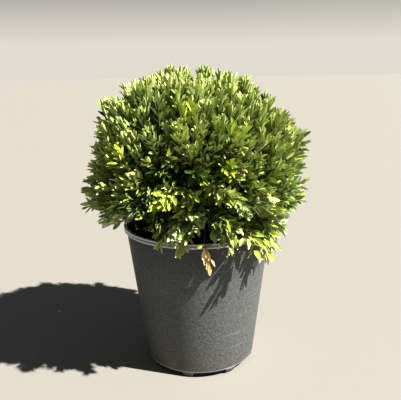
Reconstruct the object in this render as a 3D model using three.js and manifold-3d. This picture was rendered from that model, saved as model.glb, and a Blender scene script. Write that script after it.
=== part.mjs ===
// A clipped box ball, about 430 mm across, growing in a round moulded nursery pot of the 14 litre size.
// Units are millimetres. +Z is up, and the origin is the centre of the pot's flat underside.
// An azimuth is measured from +X towards +Y, so the front, which faces -Y, is at -90 degrees.
import * as THREE from "three";
import { mergeVertices } from "three/addons/utils/BufferGeometryUtils.js";
import Module from "manifold-3d";

const wasm = await Module();
wasm.setup();

// Driving dimensions of the pot
const POT_HEIGHT = 288;
const RIM_RADIUS = 149;
const RIM_WIDTH = 5.4;
const RIM_DEPTH = 9;
const RIM_ROUNDING = 2;
const WALL = 2.2;
const WALL_LEAN = 0.1215;
const BASE_RADIUS = 110;
const FOOT_RADIUS = 100;
const CORNER_RISE = 14;
const CORNER_STEPS = 3;
const POT_SIDES = 36;
const DRAIN_COUNT = 8;
const DRAIN_TURN = 9.6;
const DRAIN_WIDTH = 66;
const DRAIN_HEIGHT = 11;
const DRAIN_CORNER = 4;
const DRAIN_LENGTH = 26;

// Driving dimensions of the soil and the wood
const SOIL_TOP = 264;
const SOIL_EDGE_TOP = 257;
const SOIL_PATCH_RADIUS = 26;
const SOIL_STEPS = 3;
const SOIL_SIDES = 18;
const CLEARANCE = 0.3;
const SOIL_GAP = 0.4;
const TRUNK_FOOT_RADIUS = 13;
const TRUNK_TOP_RADIUS = 8.5;
const STEM_STRAIGHT = 8;
const TRUNK_TOP = new THREE.Vector3(3, 2, 312);

// Driving dimensions of the crown
const CROWN_CENTRE = new THREE.Vector3(0, 0, 386);
const MASS_FOOT_SHARE = 0.45;
const HUB_SHARE = 0.64;
const CORE_INSET = 8;
const CORE_DEPTH = 60;
const CORE_ROUGHNESS = 6;
const CORE_BUMPS = 17;
const CORE_GAP = 0.8;
const CORE_FLOOR = POT_HEIGHT + 8;
const CORE_DETAIL = 3;
const CELL_GAP = 0.6;
const LEAF_GAP = 1.6;
const LEAF_CLEARANCE = 3.5;
const LIMB_CLEARANCE = 6;
const SPRIG_CLEARANCE = 14;
const SHOOT_PLACES = 136;
const INNER_LEAF_PLACES = 266;
const INNER_LEAF_SINK = 3;
const DRAWN_IN = [0, 0.08, 0.16, 0.24, 0.32];
const SEED = 1000;

// How far the leaf tips stand from the crown's centre, by elevation in degrees.
const REACH = [
  [-90, 110],
  [-40, 174],
  [-20, 214],
  [0, 217],
  [30, 224],
  [52, 220],
  [90, 201],
];

// The skirt's leaf tips spread wider than that by a share, given by azimuth.
const SKIRT_SPREAD = [
  [-180, 0.07],
  [-140, 0.07],
  [-100, 0.03],
  [-60, 0.05],
  [-25, 0.02],
  [0, -0.06],
  [30, -0.05],
  [70, 0],
  [130, 0],
  [180, 0.07],
];

// How much of that spread counts, by elevation.
const SPREAD_COUNTS = [
  [-90, 1],
  [-16, 1],
  [-3, 0.85],
  [10, 0],
  [90, 0],
];

// How steeply the shoots rise, by the elevation at which their tips lie. They all grow to the light.
const SHOOT_RISE = [
  [-90, -80],
  [-36, -46],
  [-26, -24],
  [-14, 2],
  [0, 24],
  [15, 44],
  [35, 64],
  [60, 78],
  [90, 90],
];

// How low the skirt hangs, as an elevation by azimuth. At the front left it leaves the rim bare.
const SKIRT_EDGE = [
  [-180, -20],
  [-150, -17],
  [-138, -15],
  [-125, -13],
  [-113, -18],
  [-105, -22],
  [-98, -28],
  [-92, -27],
  [-88, -20],
  [-80, -20],
  [-75, -27],
  [-70, -27],
  [-64, -21],
  [-56, -28],
  [-45, -32],
  [-30, -32],
  [0, -27],
  [90, -30],
  [180, -20],
];

// One leaf stands for a spray of the real, smaller leaves.
const LEAF_LENGTH = 48;
const LEAF_WIDTH = 21;
const LEAF_WIDEST = 0.57;
const LEAF_KEEL = 2.2;
const LEAF_SINK = 0.6;
const TIP_LEAF_SINK = 3;
const TWIG_FOOT_RADIUS = 2.6;
const TWIG_TIP_RADIUS = 1.9;
const SHOOT_LENGTH = 50;
const BEND_SHARES = [1, 0.75, 0.5];
const TURNS_TRIED = 6;

const UP = new THREE.Vector3(0, 0, 1);
const GOLDEN_ANGLE = Math.PI * (3 - Math.sqrt(5));
const radians = THREE.MathUtils.degToRad;

// The same seed grows the same plant on every run.
function seeded(seed) {
  let state = seed >>> 0;
  return () => {
    state = (state + 0x6d2b79f5) >>> 0;
    let mixed = Math.imul(state ^ (state >>> 15), 1 | state);
    mixed = (mixed + Math.imul(mixed ^ (mixed >>> 7), 61 | mixed)) ^ mixed;
    return ((mixed ^ (mixed >>> 14)) >>> 0) / 4294967296;
  };
}

function between(random, low, high) {
  return low + (high - low) * random();
}

function direction(azimuth, elevation) {
  const flat = Math.cos(radians(elevation));
  return new THREE.Vector3(
    flat * Math.cos(radians(azimuth)),
    flat * Math.sin(radians(azimuth)),
    Math.sin(radians(elevation)),
  );
}

// A point round the pot's axis, by azimuth, radius and height.
function around(azimuth, radius, height) {
  return direction(azimuth, 0).multiplyScalar(radius).setZ(height);
}

// A value read from a list of [angle, value] rows, on straight lines between the rows.
function readAt(rows, angle) {
  const upper = Math.max(rows.findIndex(([degrees]) => degrees >= angle), 1);
  const [lowDegrees, lowValue] = rows[upper - 1];
  const [highDegrees, highValue] = rows[upper];
  return THREE.MathUtils.mapLinear(angle, lowDegrees, highDegrees, lowValue, highValue);
}

function reachAt(elevation) {
  return readAt(REACH, elevation);
}

function elevationOf(unit) {
  return THREE.MathUtils.radToDeg(Math.asin(THREE.MathUtils.clamp(unit.z, -1, 1)));
}

function azimuthOf(unit) {
  return THREE.MathUtils.radToDeg(Math.atan2(unit.y, unit.x));
}

// How far a leaf tip stands from the crown's centre, with the spread of the skirt.
function tipReachAt(outward) {
  const spread = readAt(SPREAD_COUNTS, elevationOf(outward)) * readAt(SKIRT_SPREAD, azimuthOf(outward));
  return reachAt(elevationOf(outward)) * (1 + spread);
}

// Corners closer than this are one corner.
const SAME_PLACE = 0.0001;

// Geometry to solid and back
function solidOf(geometry) {
  const bare = new THREE.BufferGeometry();
  bare.setAttribute("position", geometry.getAttribute("position"));
  bare.setIndex(geometry.index);
  const merged = mergeVertices(bare, SAME_PLACE);
  const mesh = new wasm.Mesh({
    numProp: 3,
    vertProperties: merged.attributes.position.array,
    triVerts: new Uint32Array(merged.index.array),
  });
  return new wasm.Manifold(mesh);
}

function geometryOf(solid) {
  const mesh = solid.getMesh();
  const geometry = new THREE.BufferGeometry();
  geometry.setAttribute("position", new THREE.BufferAttribute(mesh.vertProperties, 3));
  geometry.setIndex(new THREE.BufferAttribute(mesh.triVerts, 1));
  return geometry;
}

function joined(solids) {
  return solids.reduce((whole, solid) => whole.add(solid));
}

// The largest piece of a solid. Loose scraps and sealed hollows are dropped.
function largest(solid) {
  const pieces = solid.decompose();
  return pieces.reduce((best, piece) => (piece.volume() > best.volume() ? piece : best));
}

// Edges shorter than this are closed up after a join, so that no sliver is left.
const SHORTEST_EDGE = 0.06;

// Faces that lie this nearly flat with each other become one.
const FLATNESS = 0.001;

function tidy(solid) {
  return largest(solid.simplify(SHORTEST_EDGE));
}

// A limb is a cylinder bent along a curve and tapered from its foot to its tip.
function limb({ path, foot, tip, sides = 5, steps = 5, grow = 0, lobes = null }) {
  const curve = new THREE.CatmullRomCurve3(path);
  const geometry = new THREE.CylinderGeometry(1, 1, 1, sides, steps);
  const frames = curve.computeFrenetFrames(steps);
  const place = geometry.getAttribute("position");
  for (let i = 0; i < place.count; i += 1) {
    const step = Math.round((place.getY(i) + 0.5) * steps);
    const share = step / steps;
    const bend = Math.atan2(place.getZ(i), place.getX(i));
    const isCentre = Math.hypot(place.getX(i), place.getZ(i)) < 0.5;
    const lobe = lobes ? lobes(bend, share) : 1;
    const radius = isCentre ? 0 : THREE.MathUtils.lerp(foot, tip, share) * lobe + grow;
    const point = curve.getPointAt(share);
    const overrun = step === 0 ? -grow : step === steps ? grow : 0;
    point.addScaledVector(frames.tangents[step], overrun);
    point.addScaledVector(frames.normals[step], radius * Math.cos(bend));
    point.addScaledVector(frames.binormals[step], radius * Math.sin(bend));
    place.setXYZ(i, point.x, point.y, point.z);
  }
  const solid = solidOf(geometry);
  return solid.volume() < 0 ? solidOf(turnedOut(geometry)) : solid;
}

// The same faces, each wound the other way round.
function turnedOut(geometry) {
  const flipped = geometry.clone();
  const index = flipped.index.array;
  for (let i = 0; i < index.length; i += 3) {
    const kept = index[i + 1];
    index[i + 1] = index[i + 2];
    index[i + 2] = kept;
  }
  return flipped;
}

// The pot: a lathe of its section, with wide drain openings cut through the bottom corner between its feet.
function outerRadius(height) {
  return BASE_RADIUS + WALL_LEAN * height;
}

// The rounded corner between floor and wall, so far inside the pot's outer face.
function corner(inset) {
  const start = new THREE.Vector2(FOOT_RADIUS, inset);
  const middle = new THREE.Vector2(outerRadius(0) - inset, inset);
  const end = new THREE.Vector2(outerRadius(CORNER_RISE) - inset, CORNER_RISE);
  return new THREE.QuadraticBezierCurve(start, middle, end).getPoints(CORNER_STEPS);
}

function potSection() {
  const underRim = POT_HEIGHT - RIM_DEPTH;
  return [
    new THREE.Vector2(0, 0),
    ...corner(0),
    new THREE.Vector2(outerRadius(underRim), underRim),
    new THREE.Vector2(RIM_RADIUS, underRim + RIM_ROUNDING / 2),
    new THREE.Vector2(RIM_RADIUS, POT_HEIGHT - RIM_ROUNDING),
    new THREE.Vector2(RIM_RADIUS - RIM_ROUNDING, POT_HEIGHT),
    new THREE.Vector2(RIM_RADIUS - RIM_WIDTH, POT_HEIGHT),
    new THREE.Vector2(outerRadius(underRim) - WALL, underRim),
    ...corner(WALL).reverse(),
    new THREE.Vector2(0, WALL),
  ];
}

function lathe(section, sides) {
  const geometry = new THREE.LatheGeometry(section, sides);
  geometry.rotateX(Math.PI / 2);
  const solid = solidOf(geometry);
  return solid.volume() < 0 ? solidOf(turnedOut(geometry)) : solid;
}

// What is cut out between two feet: flat on top, with its upper corners eased.
function drainOpening() {
  const half = DRAIN_WIDTH / 2;
  const outline = new THREE.Shape([
    new THREE.Vector2(-half, -DRAIN_HEIGHT),
    new THREE.Vector2(half, -DRAIN_HEIGHT),
    new THREE.Vector2(half, DRAIN_HEIGHT - DRAIN_CORNER),
    new THREE.Vector2(half - DRAIN_CORNER, DRAIN_HEIGHT),
    new THREE.Vector2(DRAIN_CORNER - half, DRAIN_HEIGHT),
    new THREE.Vector2(-half, DRAIN_HEIGHT - DRAIN_CORNER),
  ]);
  const opening = new THREE.ExtrudeGeometry(outline, { depth: DRAIN_LENGTH, bevelEnabled: false });
  opening.rotateX(Math.PI / 2);
  opening.rotateZ(Math.PI / 2);
  opening.translate(BASE_RADIUS - DRAIN_LENGTH / 2, 0, 0);
  return opening;
}

function makePot() {
  let pot = lathe(potSection(), POT_SIDES);
  for (let i = 0; i < DRAIN_COUNT; i += 1) {
    const drain = drainOpening();
    drain.rotateZ(radians(DRAIN_TURN + (360 * i) / DRAIN_COUNT));
    pot = pot.subtract(solidOf(drain));
  }
  return pot;
}

// The potting mix fills the pot to a little below the rim. It mounds up to a flat patch for the trunk.
function makeSoil() {
  const inset = WALL + SOIL_GAP;
  const edge = outerRadius(SOIL_EDGE_TOP) - inset;
  const section = [new THREE.Vector2(0, inset), ...corner(inset)];
  for (let i = 0; i <= SOIL_STEPS; i += 1) {
    const share = i / SOIL_STEPS;
    const radius = THREE.MathUtils.lerp(edge, SOIL_PATCH_RADIUS, share);
    const mound = Math.sin((share * Math.PI) / 2);
    section.push(new THREE.Vector2(radius, THREE.MathUtils.lerp(SOIL_EDGE_TOP, SOIL_TOP, mound)));
  }
  section.push(new THREE.Vector2(0, SOIL_TOP));
  return lathe(section, SOIL_SIDES);
}

// The trunk: short, leaning a little, with a lobed flare where it meets the soil.
const FLARE_SHARE = 0.45;
const FLARE_LOBES = 5;
const TRUNK = {
  path: [
    new THREE.Vector3(0, 0, SOIL_TOP + CLEARANCE),
    new THREE.Vector3(0, 0, SOIL_TOP + 14),
    new THREE.Vector3(1, 1, SOIL_TOP + 32),
    TRUNK_TOP,
  ],
  foot: TRUNK_FOOT_RADIUS,
  tip: TRUNK_TOP_RADIUS,
  sides: 3 * FLARE_LOBES,
  steps: 6,
  lobes: (bend, share) => 1 + Math.max(0, FLARE_SHARE - share) * (0.55 + 0.45 * Math.cos(FLARE_LOBES * bend)),
};

// The boughs come off in tiers. Each starts on its parent, at a radius and height that climb by a
// step from one bough of the tier to the next, and runs to where its mass of leaves begins. On its
// way it bows up or down, and swings to one side and back.
const TIERS = {
  crown: {
    count: 1,
    azimuth: 0,
    elevation: 90,
    foot: 6.6,
    tip: 2.8,
    start: { turn: 34, radius: 3.6, height: TRUNK_TOP.z + CLEARANCE, climb: 0 },
    bow: 0,
    swing: 4,
  },
  shoulder: {
    count: 5,
    azimuth: -126,
    elevation: 42,
    foot: 4.6,
    tip: 2.4,
    start: { turn: 0, radius: 1.5, height: 326, climb: 9 },
    bow: 3,
    swing: 4,
  },
  side: {
    count: 6,
    azimuth: -80,
    elevation: 7,
    foot: 5.2,
    tip: 2.6,
    start: { turn: 0, radius: 1, height: 284, climb: 4.2 },
    bow: -12,
    swing: 3,
  },
  skirt: {
    count: 6,
    azimuth: -110,
    elevation: -27,
    foot: 3.6,
    tip: 2.2,
    start: { turn: 33, radius: 14, height: 291, climb: 4.2 },
    bow: -3,
    swing: -3,
  },
};
const BOUGH_POINTS = 4;

function massFoot(outward) {
  const share = MASS_FOOT_SHARE * reachAt(elevationOf(outward));
  return CROWN_CENTRE.clone().addScaledVector(outward, share);
}

function boughShape({ start, bow, swing, foot, tip }, outward, azimuth, index) {
  const end = massFoot(outward);
  const endRadius = Math.hypot(end.x, end.y);
  const aside = direction(azimuth + 90, 0);
  const path = [];
  for (let i = 0; i < BOUGH_POINTS; i += 1) {
    const share = i / (BOUGH_POINTS - 1);
    const turn = THREE.MathUtils.lerp(start.turn, 0, share);
    const radius = THREE.MathUtils.lerp(start.radius, endRadius, share);
    const straight = THREE.MathUtils.lerp(start.height + start.climb * index, end.z, share);
    const point = around(azimuth + turn, radius, straight + bow * Math.sin(Math.PI * share));
    path.push(point.addScaledVector(aside, swing * Math.sin(2 * Math.PI * share)));
  }
  return { path, foot, tip };
}

// A thin low shoot lies over the rim at the front, and ends in the withered sprig.
const LOW_SHOOT_AZIMUTH = -85.5;
const LOW_SHOOT = {
  path: [
    around(LOW_SHOOT_AZIMUTH, 6, 279),
    around(LOW_SHOOT_AZIMUTH + 6, 50, 293),
    around(LOW_SHOOT_AZIMUTH + 2, 110, 295),
    around(LOW_SHOOT_AZIMUTH, 143, POT_HEIGHT + 3.4),
    around(LOW_SHOOT_AZIMUTH, 153, POT_HEIGHT - 0.6),
  ],
  foot: 2.6,
  tip: 1.5,
  sides: 4,
  steps: 9,
};

// The withered sprig's stalk goes on from the tip of the low shoot and hangs beside the wall.
const SPRIG_STALK = [
  around(LOW_SHOOT_AZIMUTH, 153.4, POT_HEIGHT - 1),
  around(LOW_SHOOT_AZIMUTH + 0.4, 156, POT_HEIGHT - 7),
  around(LOW_SHOOT_AZIMUTH + 1, 156.5, POT_HEIGHT - 15),
  around(LOW_SHOOT_AZIMUTH + 1.8, 156, POT_HEIGHT - 26),
];

// The masses of leaves. Each keeps to its own cell of the ball, nearer its own direction than any other.
const masses = [];
for (const [tierName, tier] of Object.entries(TIERS)) {
  for (let index = 0; index < tier.count; index += 1) {
    const azimuth = tier.azimuth + (360 / tier.count) * index;
    const outward = direction(azimuth, tier.elevation);
    const label = tier.count === 1 ? tierName : `${tierName}_${index + 1}`;
    masses.push({ label, outward, shape: boughShape(tier, outward, azimuth, index) });
  }
}
for (const mass of masses) {
  const others = masses.filter((other) => other !== mass);
  mass.walls = others.map((other) => mass.outward.clone().sub(other.outward).normalize());
}

function depthInCell(point, mass) {
  const fromCentre = point.clone().sub(CROWN_CENTRE);
  return Math.min(...mass.walls.map((wall) => wall.dot(fromCentre)));
}

// Space that a twig or leaf may take: clear of the pot, the low shoot and the withered sprig.
const lowShootLine = new THREE.CatmullRomCurve3(LOW_SHOOT.path).getPoints(40);
const sprigLine = new THREE.CatmullRomCurve3(SPRIG_STALK).getPoints(8);

function isFreeSpace(point) {
  const besideWall = Math.hypot(point.x, point.y) > RIM_RADIUS + LEAF_CLEARANCE;
  const isClearOfPot = point.z > POT_HEIGHT + LEAF_CLEARANCE || besideWall;
  const isClearOfShoot = lowShootLine.every((place) => place.distanceTo(point) > LIMB_CLEARANCE);
  const isClearOfSprig = sprigLine.every((place) => place.distanceTo(point) > SPRIG_CLEARANCE);
  return isClearOfPot && isClearOfShoot && isClearOfSprig;
}

// The flat outline of a leaf: root, one edge, tip and the other edge.
function leafOutline({ root, along, across }) {
  const widest = root.clone().addScaledVector(along, LEAF_WIDEST * LEAF_LENGTH);
  return [
    root,
    widest.clone().addScaledVector(across, LEAF_WIDTH / 2),
    root.clone().addScaledVector(along, LEAF_LENGTH),
    widest.clone().addScaledVector(across, -LEAF_WIDTH / 2),
  ];
}

// The four edges of an outline and its midrib.
function leafLines([root, left, tip, right]) {
  return [[root, left], [left, tip], [tip, right], [right, root], [root, tip]];
}

function isInFreeSpace(outline) {
  const shares = [0, 0.2, 0.4, 0.6, 0.8, 1];
  return leafLines(outline).every(([from, to]) =>
    shares.every((share) => isFreeSpace(from.clone().lerp(to, share))),
  );
}

// Whether an edge or the midrib of one outline passes through the other outline.
function piercesLeaf(outline, other) {
  const hit = new THREE.Vector3();
  return leafLines(outline).some(([from, to]) => {
    const ray = new THREE.Ray(from, to.clone().sub(from).normalize());
    const half = (edge) => ray.intersectTriangle(other[0], edge, other[2], false, hit);
    return [other[1], other[3]].some((edge) => half(edge) && hit.distanceTo(from) < to.distanceTo(from));
  });
}

function isCrowded(outline, others) {
  return others.some((other) => piercesLeaf(outline, other) || piercesLeaf(other, outline));
}

// A leaf is flat above and keeled below, and widest a little beyond its middle.
function leaf({ root, along, across }, size = 1) {
  const geometry = new THREE.OctahedronGeometry(1, 0);
  const place = geometry.getAttribute("position");
  for (let i = 0; i < place.count; i += 1) {
    const isEnd = Math.abs(place.getY(i)) > 0.5;
    place.setY(i, isEnd ? (place.getY(i) + 1) / 2 : LEAF_WIDEST);
    place.setZ(i, Math.min(place.getZ(i), 0));
  }
  geometry.scale(LEAF_WIDTH / 2, LEAF_LENGTH, LEAF_KEEL);
  geometry.scale(size, size, 1);
  const face = new THREE.Vector3().crossVectors(across, along);
  const turn = new THREE.Matrix4().makeBasis(across, along, face);
  turn.setPosition(root);
  geometry.applyMatrix4(turn);
  return solidOf(geometry).simplify(FLATNESS);
}

// Opposite pairs up a shoot, each pair turned a quarter from the one below, and one leaf at the tip.
function leafPlan(shoot, roll) {
  const side = new THREE.Vector3().crossVectors(shoot.heading, UP);
  if (side.lengthSq() < 0.01) side.set(1, 0, 0);
  side.normalize().applyAxisAngle(shoot.heading, roll);
  const plan = [];
  shoot.pairs.forEach(({ back, splay }, pairIndex) => {
    for (const turn of [0, Math.PI]) {
      const out = side.clone().applyAxisAngle(shoot.heading, (pairIndex * Math.PI) / 2 + turn);
      const angle = radians(splay);
      const along = shoot.heading.clone().multiplyScalar(Math.cos(angle));
      along.addScaledVector(out, Math.sin(angle));
      const across = new THREE.Vector3().crossVectors(shoot.heading, out).normalize();
      const root = shoot.tip.clone().addScaledVector(shoot.heading, -back).addScaledVector(along, -LEAF_SINK);
      plan.push({ root, along, across });
    }
  });
  const root = shoot.tip.clone().addScaledVector(shoot.heading, -TIP_LEAF_SINK);
  plan.push({ root, along: shoot.heading.clone(), across: side.clone() });
  return plan;
}

// The leaves of a shoot that keep to the mass's own space and clear of the pot and of other shoots.
function leavesThatFit(mass, shoot, roll, others) {
  return leafPlan(shoot, roll).filter((planned) => {
    const outline = leafOutline(planned);
    const staysIn = outline.every((point) => depthInCell(point, mass) > LEAF_GAP);
    return staysIn && isInFreeSpace(outline) && !isCrowded(outline, others);
  });
}

// Of a few ways to turn a shoot about its own line, the one on which most of its leaves fit.
function bestLeaves(mass, shoot, others) {
  const choices = [];
  for (let turn = 0; turn < TURNS_TRIED; turn += 1) {
    const roll = shoot.roll + (Math.PI * turn) / TURNS_TRIED;
    choices.push(leavesThatFit(mass, shoot, roll, others));
  }
  return choices.reduce((best, choice) => (choice.length > best.length ? choice : best));
}

const CLIPPED_PAIRS = [{ back: 9, splay: 30 }];
const LONG_PAIRS = [
  { back: 9, splay: 32 },
  { back: 30, splay: 40 },
];

// Directions spread evenly over the ball, of which a mass keeps those in its own cell.
function ownDirections(mass, count) {
  const kept = [];
  for (let i = 0; i < count; i += 1) {
    const height = 1 - (2 * (i + 0.5)) / count;
    const flat = Math.sqrt(1 - height * height);
    const turn = GOLDEN_ANGLE * i;
    const outward = new THREE.Vector3(flat * Math.cos(turn), flat * Math.sin(turn), height);
    const isOwn = mass.walls.every((wall) => wall.dot(outward) > 0);
    if (isOwn && elevationOf(outward) > readAt(SKIRT_EDGE, azimuthOf(outward))) kept.push(outward);
  }
  return kept;
}

// The chance part of each shoot: how it leans off the rule, where it stops and how it is turned.
function shootChance(random) {
  return {
    turn: between(random, -9, 9),
    rise: between(random, -7, 7),
    share: between(random, 0.955, 1),
    roll: between(random, 0, Math.PI),
  };
}

function shootHeading(outward, chance) {
  const rise = readAt(SHOOT_RISE, elevationOf(outward)) + chance.rise;
  return direction(azimuthOf(outward) + chance.turn, rise);
}

// A shoot that makes the outline. Its tip leaf ends where the shears cut.
function clippedShoot(outward, chance) {
  const heading = shootHeading(outward, chance);
  const tip = CROWN_CENTRE.clone().addScaledVector(outward, tipReachAt(outward) * chance.share);
  tip.addScaledVector(heading, -(LEAF_LENGTH - TIP_LEAF_SINK));
  return { tip, heading, roll: chance.roll, pairs: CLIPPED_PAIRS };
}

// A shorter shoot ends under the outline. Its twig lies inside the core, and only the tip leaf shows.
function innerShoot(outward, chance) {
  const reach = reachAt(elevationOf(outward)) - CORE_DEPTH - CORE_ROUGHNESS - INNER_LEAF_SINK;
  const tip = CROWN_CENTRE.clone().addScaledVector(outward, reach);
  return { tip, heading: shootHeading(outward, chance), roll: chance.roll, pairs: [] };
}

// Long shoots that stand out of the clipped outline. Some weep over the rim at the front right, and
// one reaches out low on the left. Each is given by its tip, the way it points and its elbow.
const LONG_SHOOTS = [
  { azimuth: -44, radius: 158, height: 277, rise: -64, elbow: { radius: 152, height: 314 } },
  { azimuth: -58, radius: 156, height: 292, rise: -48, elbow: { radius: 146, height: 318 } },
  { azimuth: -33, radius: 160, height: 287, rise: -52, elbow: { radius: 150, height: 318 } },
  { azimuth: -12, radius: 170, height: 301, rise: -24, elbow: { radius: 150, height: 322 } },
  { azimuth: 184, radius: 190, height: 333, rise: -18, elbow: { radius: 150, height: 345 } },
];

function longShoots(mass) {
  const shoots = LONG_SHOOTS.map(({ azimuth, radius, height, rise, elbow }) => ({
    tip: around(azimuth, radius, height),
    heading: direction(azimuth, rise),
    elbow: around(azimuth, elbow.radius, elbow.height),
    roll: 0,
    pairs: LONG_PAIRS,
  }));
  return shoots.filter(({ tip }) => depthInCell(tip, mass) > 0);
}

// The crown's dense inside, a lump that follows the outline at an even depth under the leaf tips.
function makeLump() {
  const geometry = new THREE.IcosahedronGeometry(1, CORE_DETAIL);
  const place = geometry.getAttribute("position");
  for (let i = 0; i < place.count; i += 1) {
    const outward = new THREE.Vector3().fromBufferAttribute(place, i).normalize();
    const bumps = outward.toArray().map((part, axis) => Math.sin(CORE_BUMPS * part + axis));
    const depth = CORE_DEPTH + CORE_ROUGHNESS * bumps[0] * bumps[1] * bumps[2];
    const point = CROWN_CENTRE.clone().addScaledVector(outward, reachAt(elevationOf(outward)) - depth);
    place.setXYZ(i, point.x, point.y, point.z);
  }
  return solidOf(geometry);
}

// Everything on one side of a plane, as a block larger than the crown.
const BLOCK_SIZE = 1200;

function halfSpace(point, normal) {
  const block = new THREE.BoxGeometry(BLOCK_SIZE, BLOCK_SIZE, BLOCK_SIZE);
  block.translate(0, 0, BLOCK_SIZE / 2);
  const turn = new THREE.Quaternion().setFromUnitVectors(UP, normal);
  block.applyQuaternion(turn);
  block.translate(point.x, point.y, point.z);
  return solidOf(block);
}

// The dense inside of one mass: its share of the lump, walled off flat from its neighbours.
function core(mass, lump) {
  const above = new THREE.Vector3(0, 0, CORE_FLOOR);
  const inner = massFoot(mass.outward).addScaledVector(mass.outward, CORE_INSET);
  let share = lump.intersect(halfSpace(above, UP)).intersect(halfSpace(inner, mass.outward));
  for (const wall of mass.walls) {
    const start = CROWN_CENTRE.clone().addScaledVector(wall, CORE_GAP);
    share = share.intersect(halfSpace(start, wall));
  }
  return share;
}

// A twig leaves the hub, bends at its elbow, and runs out along its shoot's heading.
// It is null where even a short bend would leave the mass's own cell.
function twig(mass, hub, shoot) {
  const steps = shoot.elbow ? 4 : 2;
  for (const share of BEND_SHARES) {
    const bend = shoot.tip.clone().addScaledVector(shoot.heading, -SHOOT_LENGTH * share);
    const path = [hub, shoot.elbow ?? bend, shoot.tip];
    const course = new THREE.CatmullRomCurve3(path).getPoints(12);
    const staysIn = course.every((point) => depthInCell(point, mass) > CELL_GAP + TWIG_FOOT_RADIUS);
    if (staysIn && course.every(isFreeSpace)) {
      return limb({ path, foot: TWIG_FOOT_RADIUS, tip: TWIG_TIP_RADIUS, sides: 3, steps });
    }
  }
  return null;
}

// The stem of a mass goes on from its bough's tip to the hub that the twigs branch from.
function massStem(mass, hub) {
  const foot = massFoot(mass.outward);
  const leaving = new THREE.CatmullRomCurve3(mass.shape.path).getTangentAt(1);
  const start = foot.clone().addScaledVector(leaving, CLEARANCE);
  const path = [start, foot.clone().addScaledVector(leaving, STEM_STRAIGHT), hub];
  return limb({ path, foot: mass.shape.tip, tip: TWIG_FOOT_RADIUS, steps: 3 });
}

function growMass(mass, lump) {
  const random = seeded(SEED + masses.indexOf(mass));
  const reach = reachAt(elevationOf(mass.outward));
  const hub = CROWN_CENTRE.clone().addScaledVector(mass.outward, HUB_SHARE * reach);
  const solids = [core(mass, lump), massStem(mass, hub)];
  const taken = [];

  const addShoot = (leaves, shootTwig) => {
    if (leaves.length > 0 && shootTwig) solids.push(shootTwig);
    for (const planned of leaves) {
      solids.push(leaf(planned));
      taken.push(leafOutline(planned));
    }
  };

  // A shoot by the cell's wall is drawn in towards the mass's middle, no more than its leaves need.
  const growInside = (place, makeShoot, hasTwig) => {
    const chance = shootChance(random);
    let best = { leaves: [], shootTwig: null };
    for (const share of DRAWN_IN) {
      const shoot = makeShoot(place.clone().lerp(mass.outward, share).normalize(), chance);
      const shootTwig = hasTwig ? twig(mass, hub, shoot) : null;
      const leaves = shootTwig || !hasTwig ? bestLeaves(mass, shoot, taken) : [];
      if (leaves.length > best.leaves.length) best = { leaves, shootTwig };
      if (leaves.length === 2 * shoot.pairs.length + 1) break;
    }
    addShoot(best.leaves, best.shootTwig);
  };

  for (const shoot of longShoots(mass)) {
    const shootTwig = twig(mass, hub, shoot);
    if (shootTwig) addShoot(bestLeaves(mass, shoot, taken), shootTwig);
  }
  for (const place of ownDirections(mass, SHOOT_PLACES)) growInside(place, clippedShoot, true);
  for (const place of ownDirections(mass, INNER_LEAF_PLACES)) growInside(place, innerShoot, false);
  return joined(solids);
}

// The withered sprig: dry leaves on the hanging stalk, each turned and tilted differently.
const DRY_LEAVES = [
  { at: 1, lean: -8, size: 0.54, tilt: 0.3 },
  { at: 0.96, lean: 13, size: 0.52, tilt: -0.3 },
  { at: 0.8, lean: 36, size: 0.46, tilt: 0.3 },
  { at: 0.3, lean: 16, size: 0.42, tilt: -0.3 },
  { at: 0.16, lean: -14, size: 0.46, tilt: 0.3 },
];

const STALK_TIP_RADIUS = 1.1;

function makeSprig() {
  const line = new THREE.CatmullRomCurve3(SPRIG_STALK);
  const outward = direction(LOW_SHOOT_AZIMUTH, 0);
  const sideways = new THREE.Vector3().crossVectors(UP, outward);
  const solids = [limb({ path: SPRIG_STALK, foot: LOW_SHOOT.tip, tip: STALK_TIP_RADIUS })];
  for (const { at, lean, size, tilt } of DRY_LEAVES) {
    const along = UP.clone().negate().applyAxisAngle(outward, radians(lean));
    along.addScaledVector(outward, 0.12).normalize();
    const across = sideways.clone().applyAxisAngle(outward, radians(lean));
    across.addScaledVector(outward, tilt).addScaledVector(along, -across.dot(along)).normalize();
    const root = line.getPointAt(at).addScaledVector(along, -LEAF_SINK);
    solids.push(leaf({ root, along, across }, size));
  }
  return joined(solids);
}

// Finishes. Colours are those of the real surfaces.
const finishes = {
  pot: new THREE.MeshStandardMaterial({ color: 0x4b4c4a, roughness: 0.62, metalness: 0 }),
  soil: new THREE.MeshStandardMaterial({ color: 0x3a2c21, roughness: 0.95, metalness: 0 }),
  bark: new THREE.MeshStandardMaterial({ color: 0x8a7d68, roughness: 0.85, metalness: 0 }),
  foliage: new THREE.MeshStandardMaterial({ color: 0x55752b, roughness: 0.42, metalness: 0 }),
  dryLeaf: new THREE.MeshStandardMaterial({ color: 0xd9ad6c, roughness: 0.7, metalness: 0 }),
};

function node(name, solid, finish) {
  const mesh = new THREE.Mesh(geometryOf(solid), finishes[finish]);
  mesh.name = name;
  return mesh;
}

// Assembly. Each limb is cut clear of the limbs made before it, so that it seats on its parent.
const container = new THREE.Group();
container.add(node("pot", makePot(), "pot"));
container.add(node("potting_soil", makeSoil(), "soil"));

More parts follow.
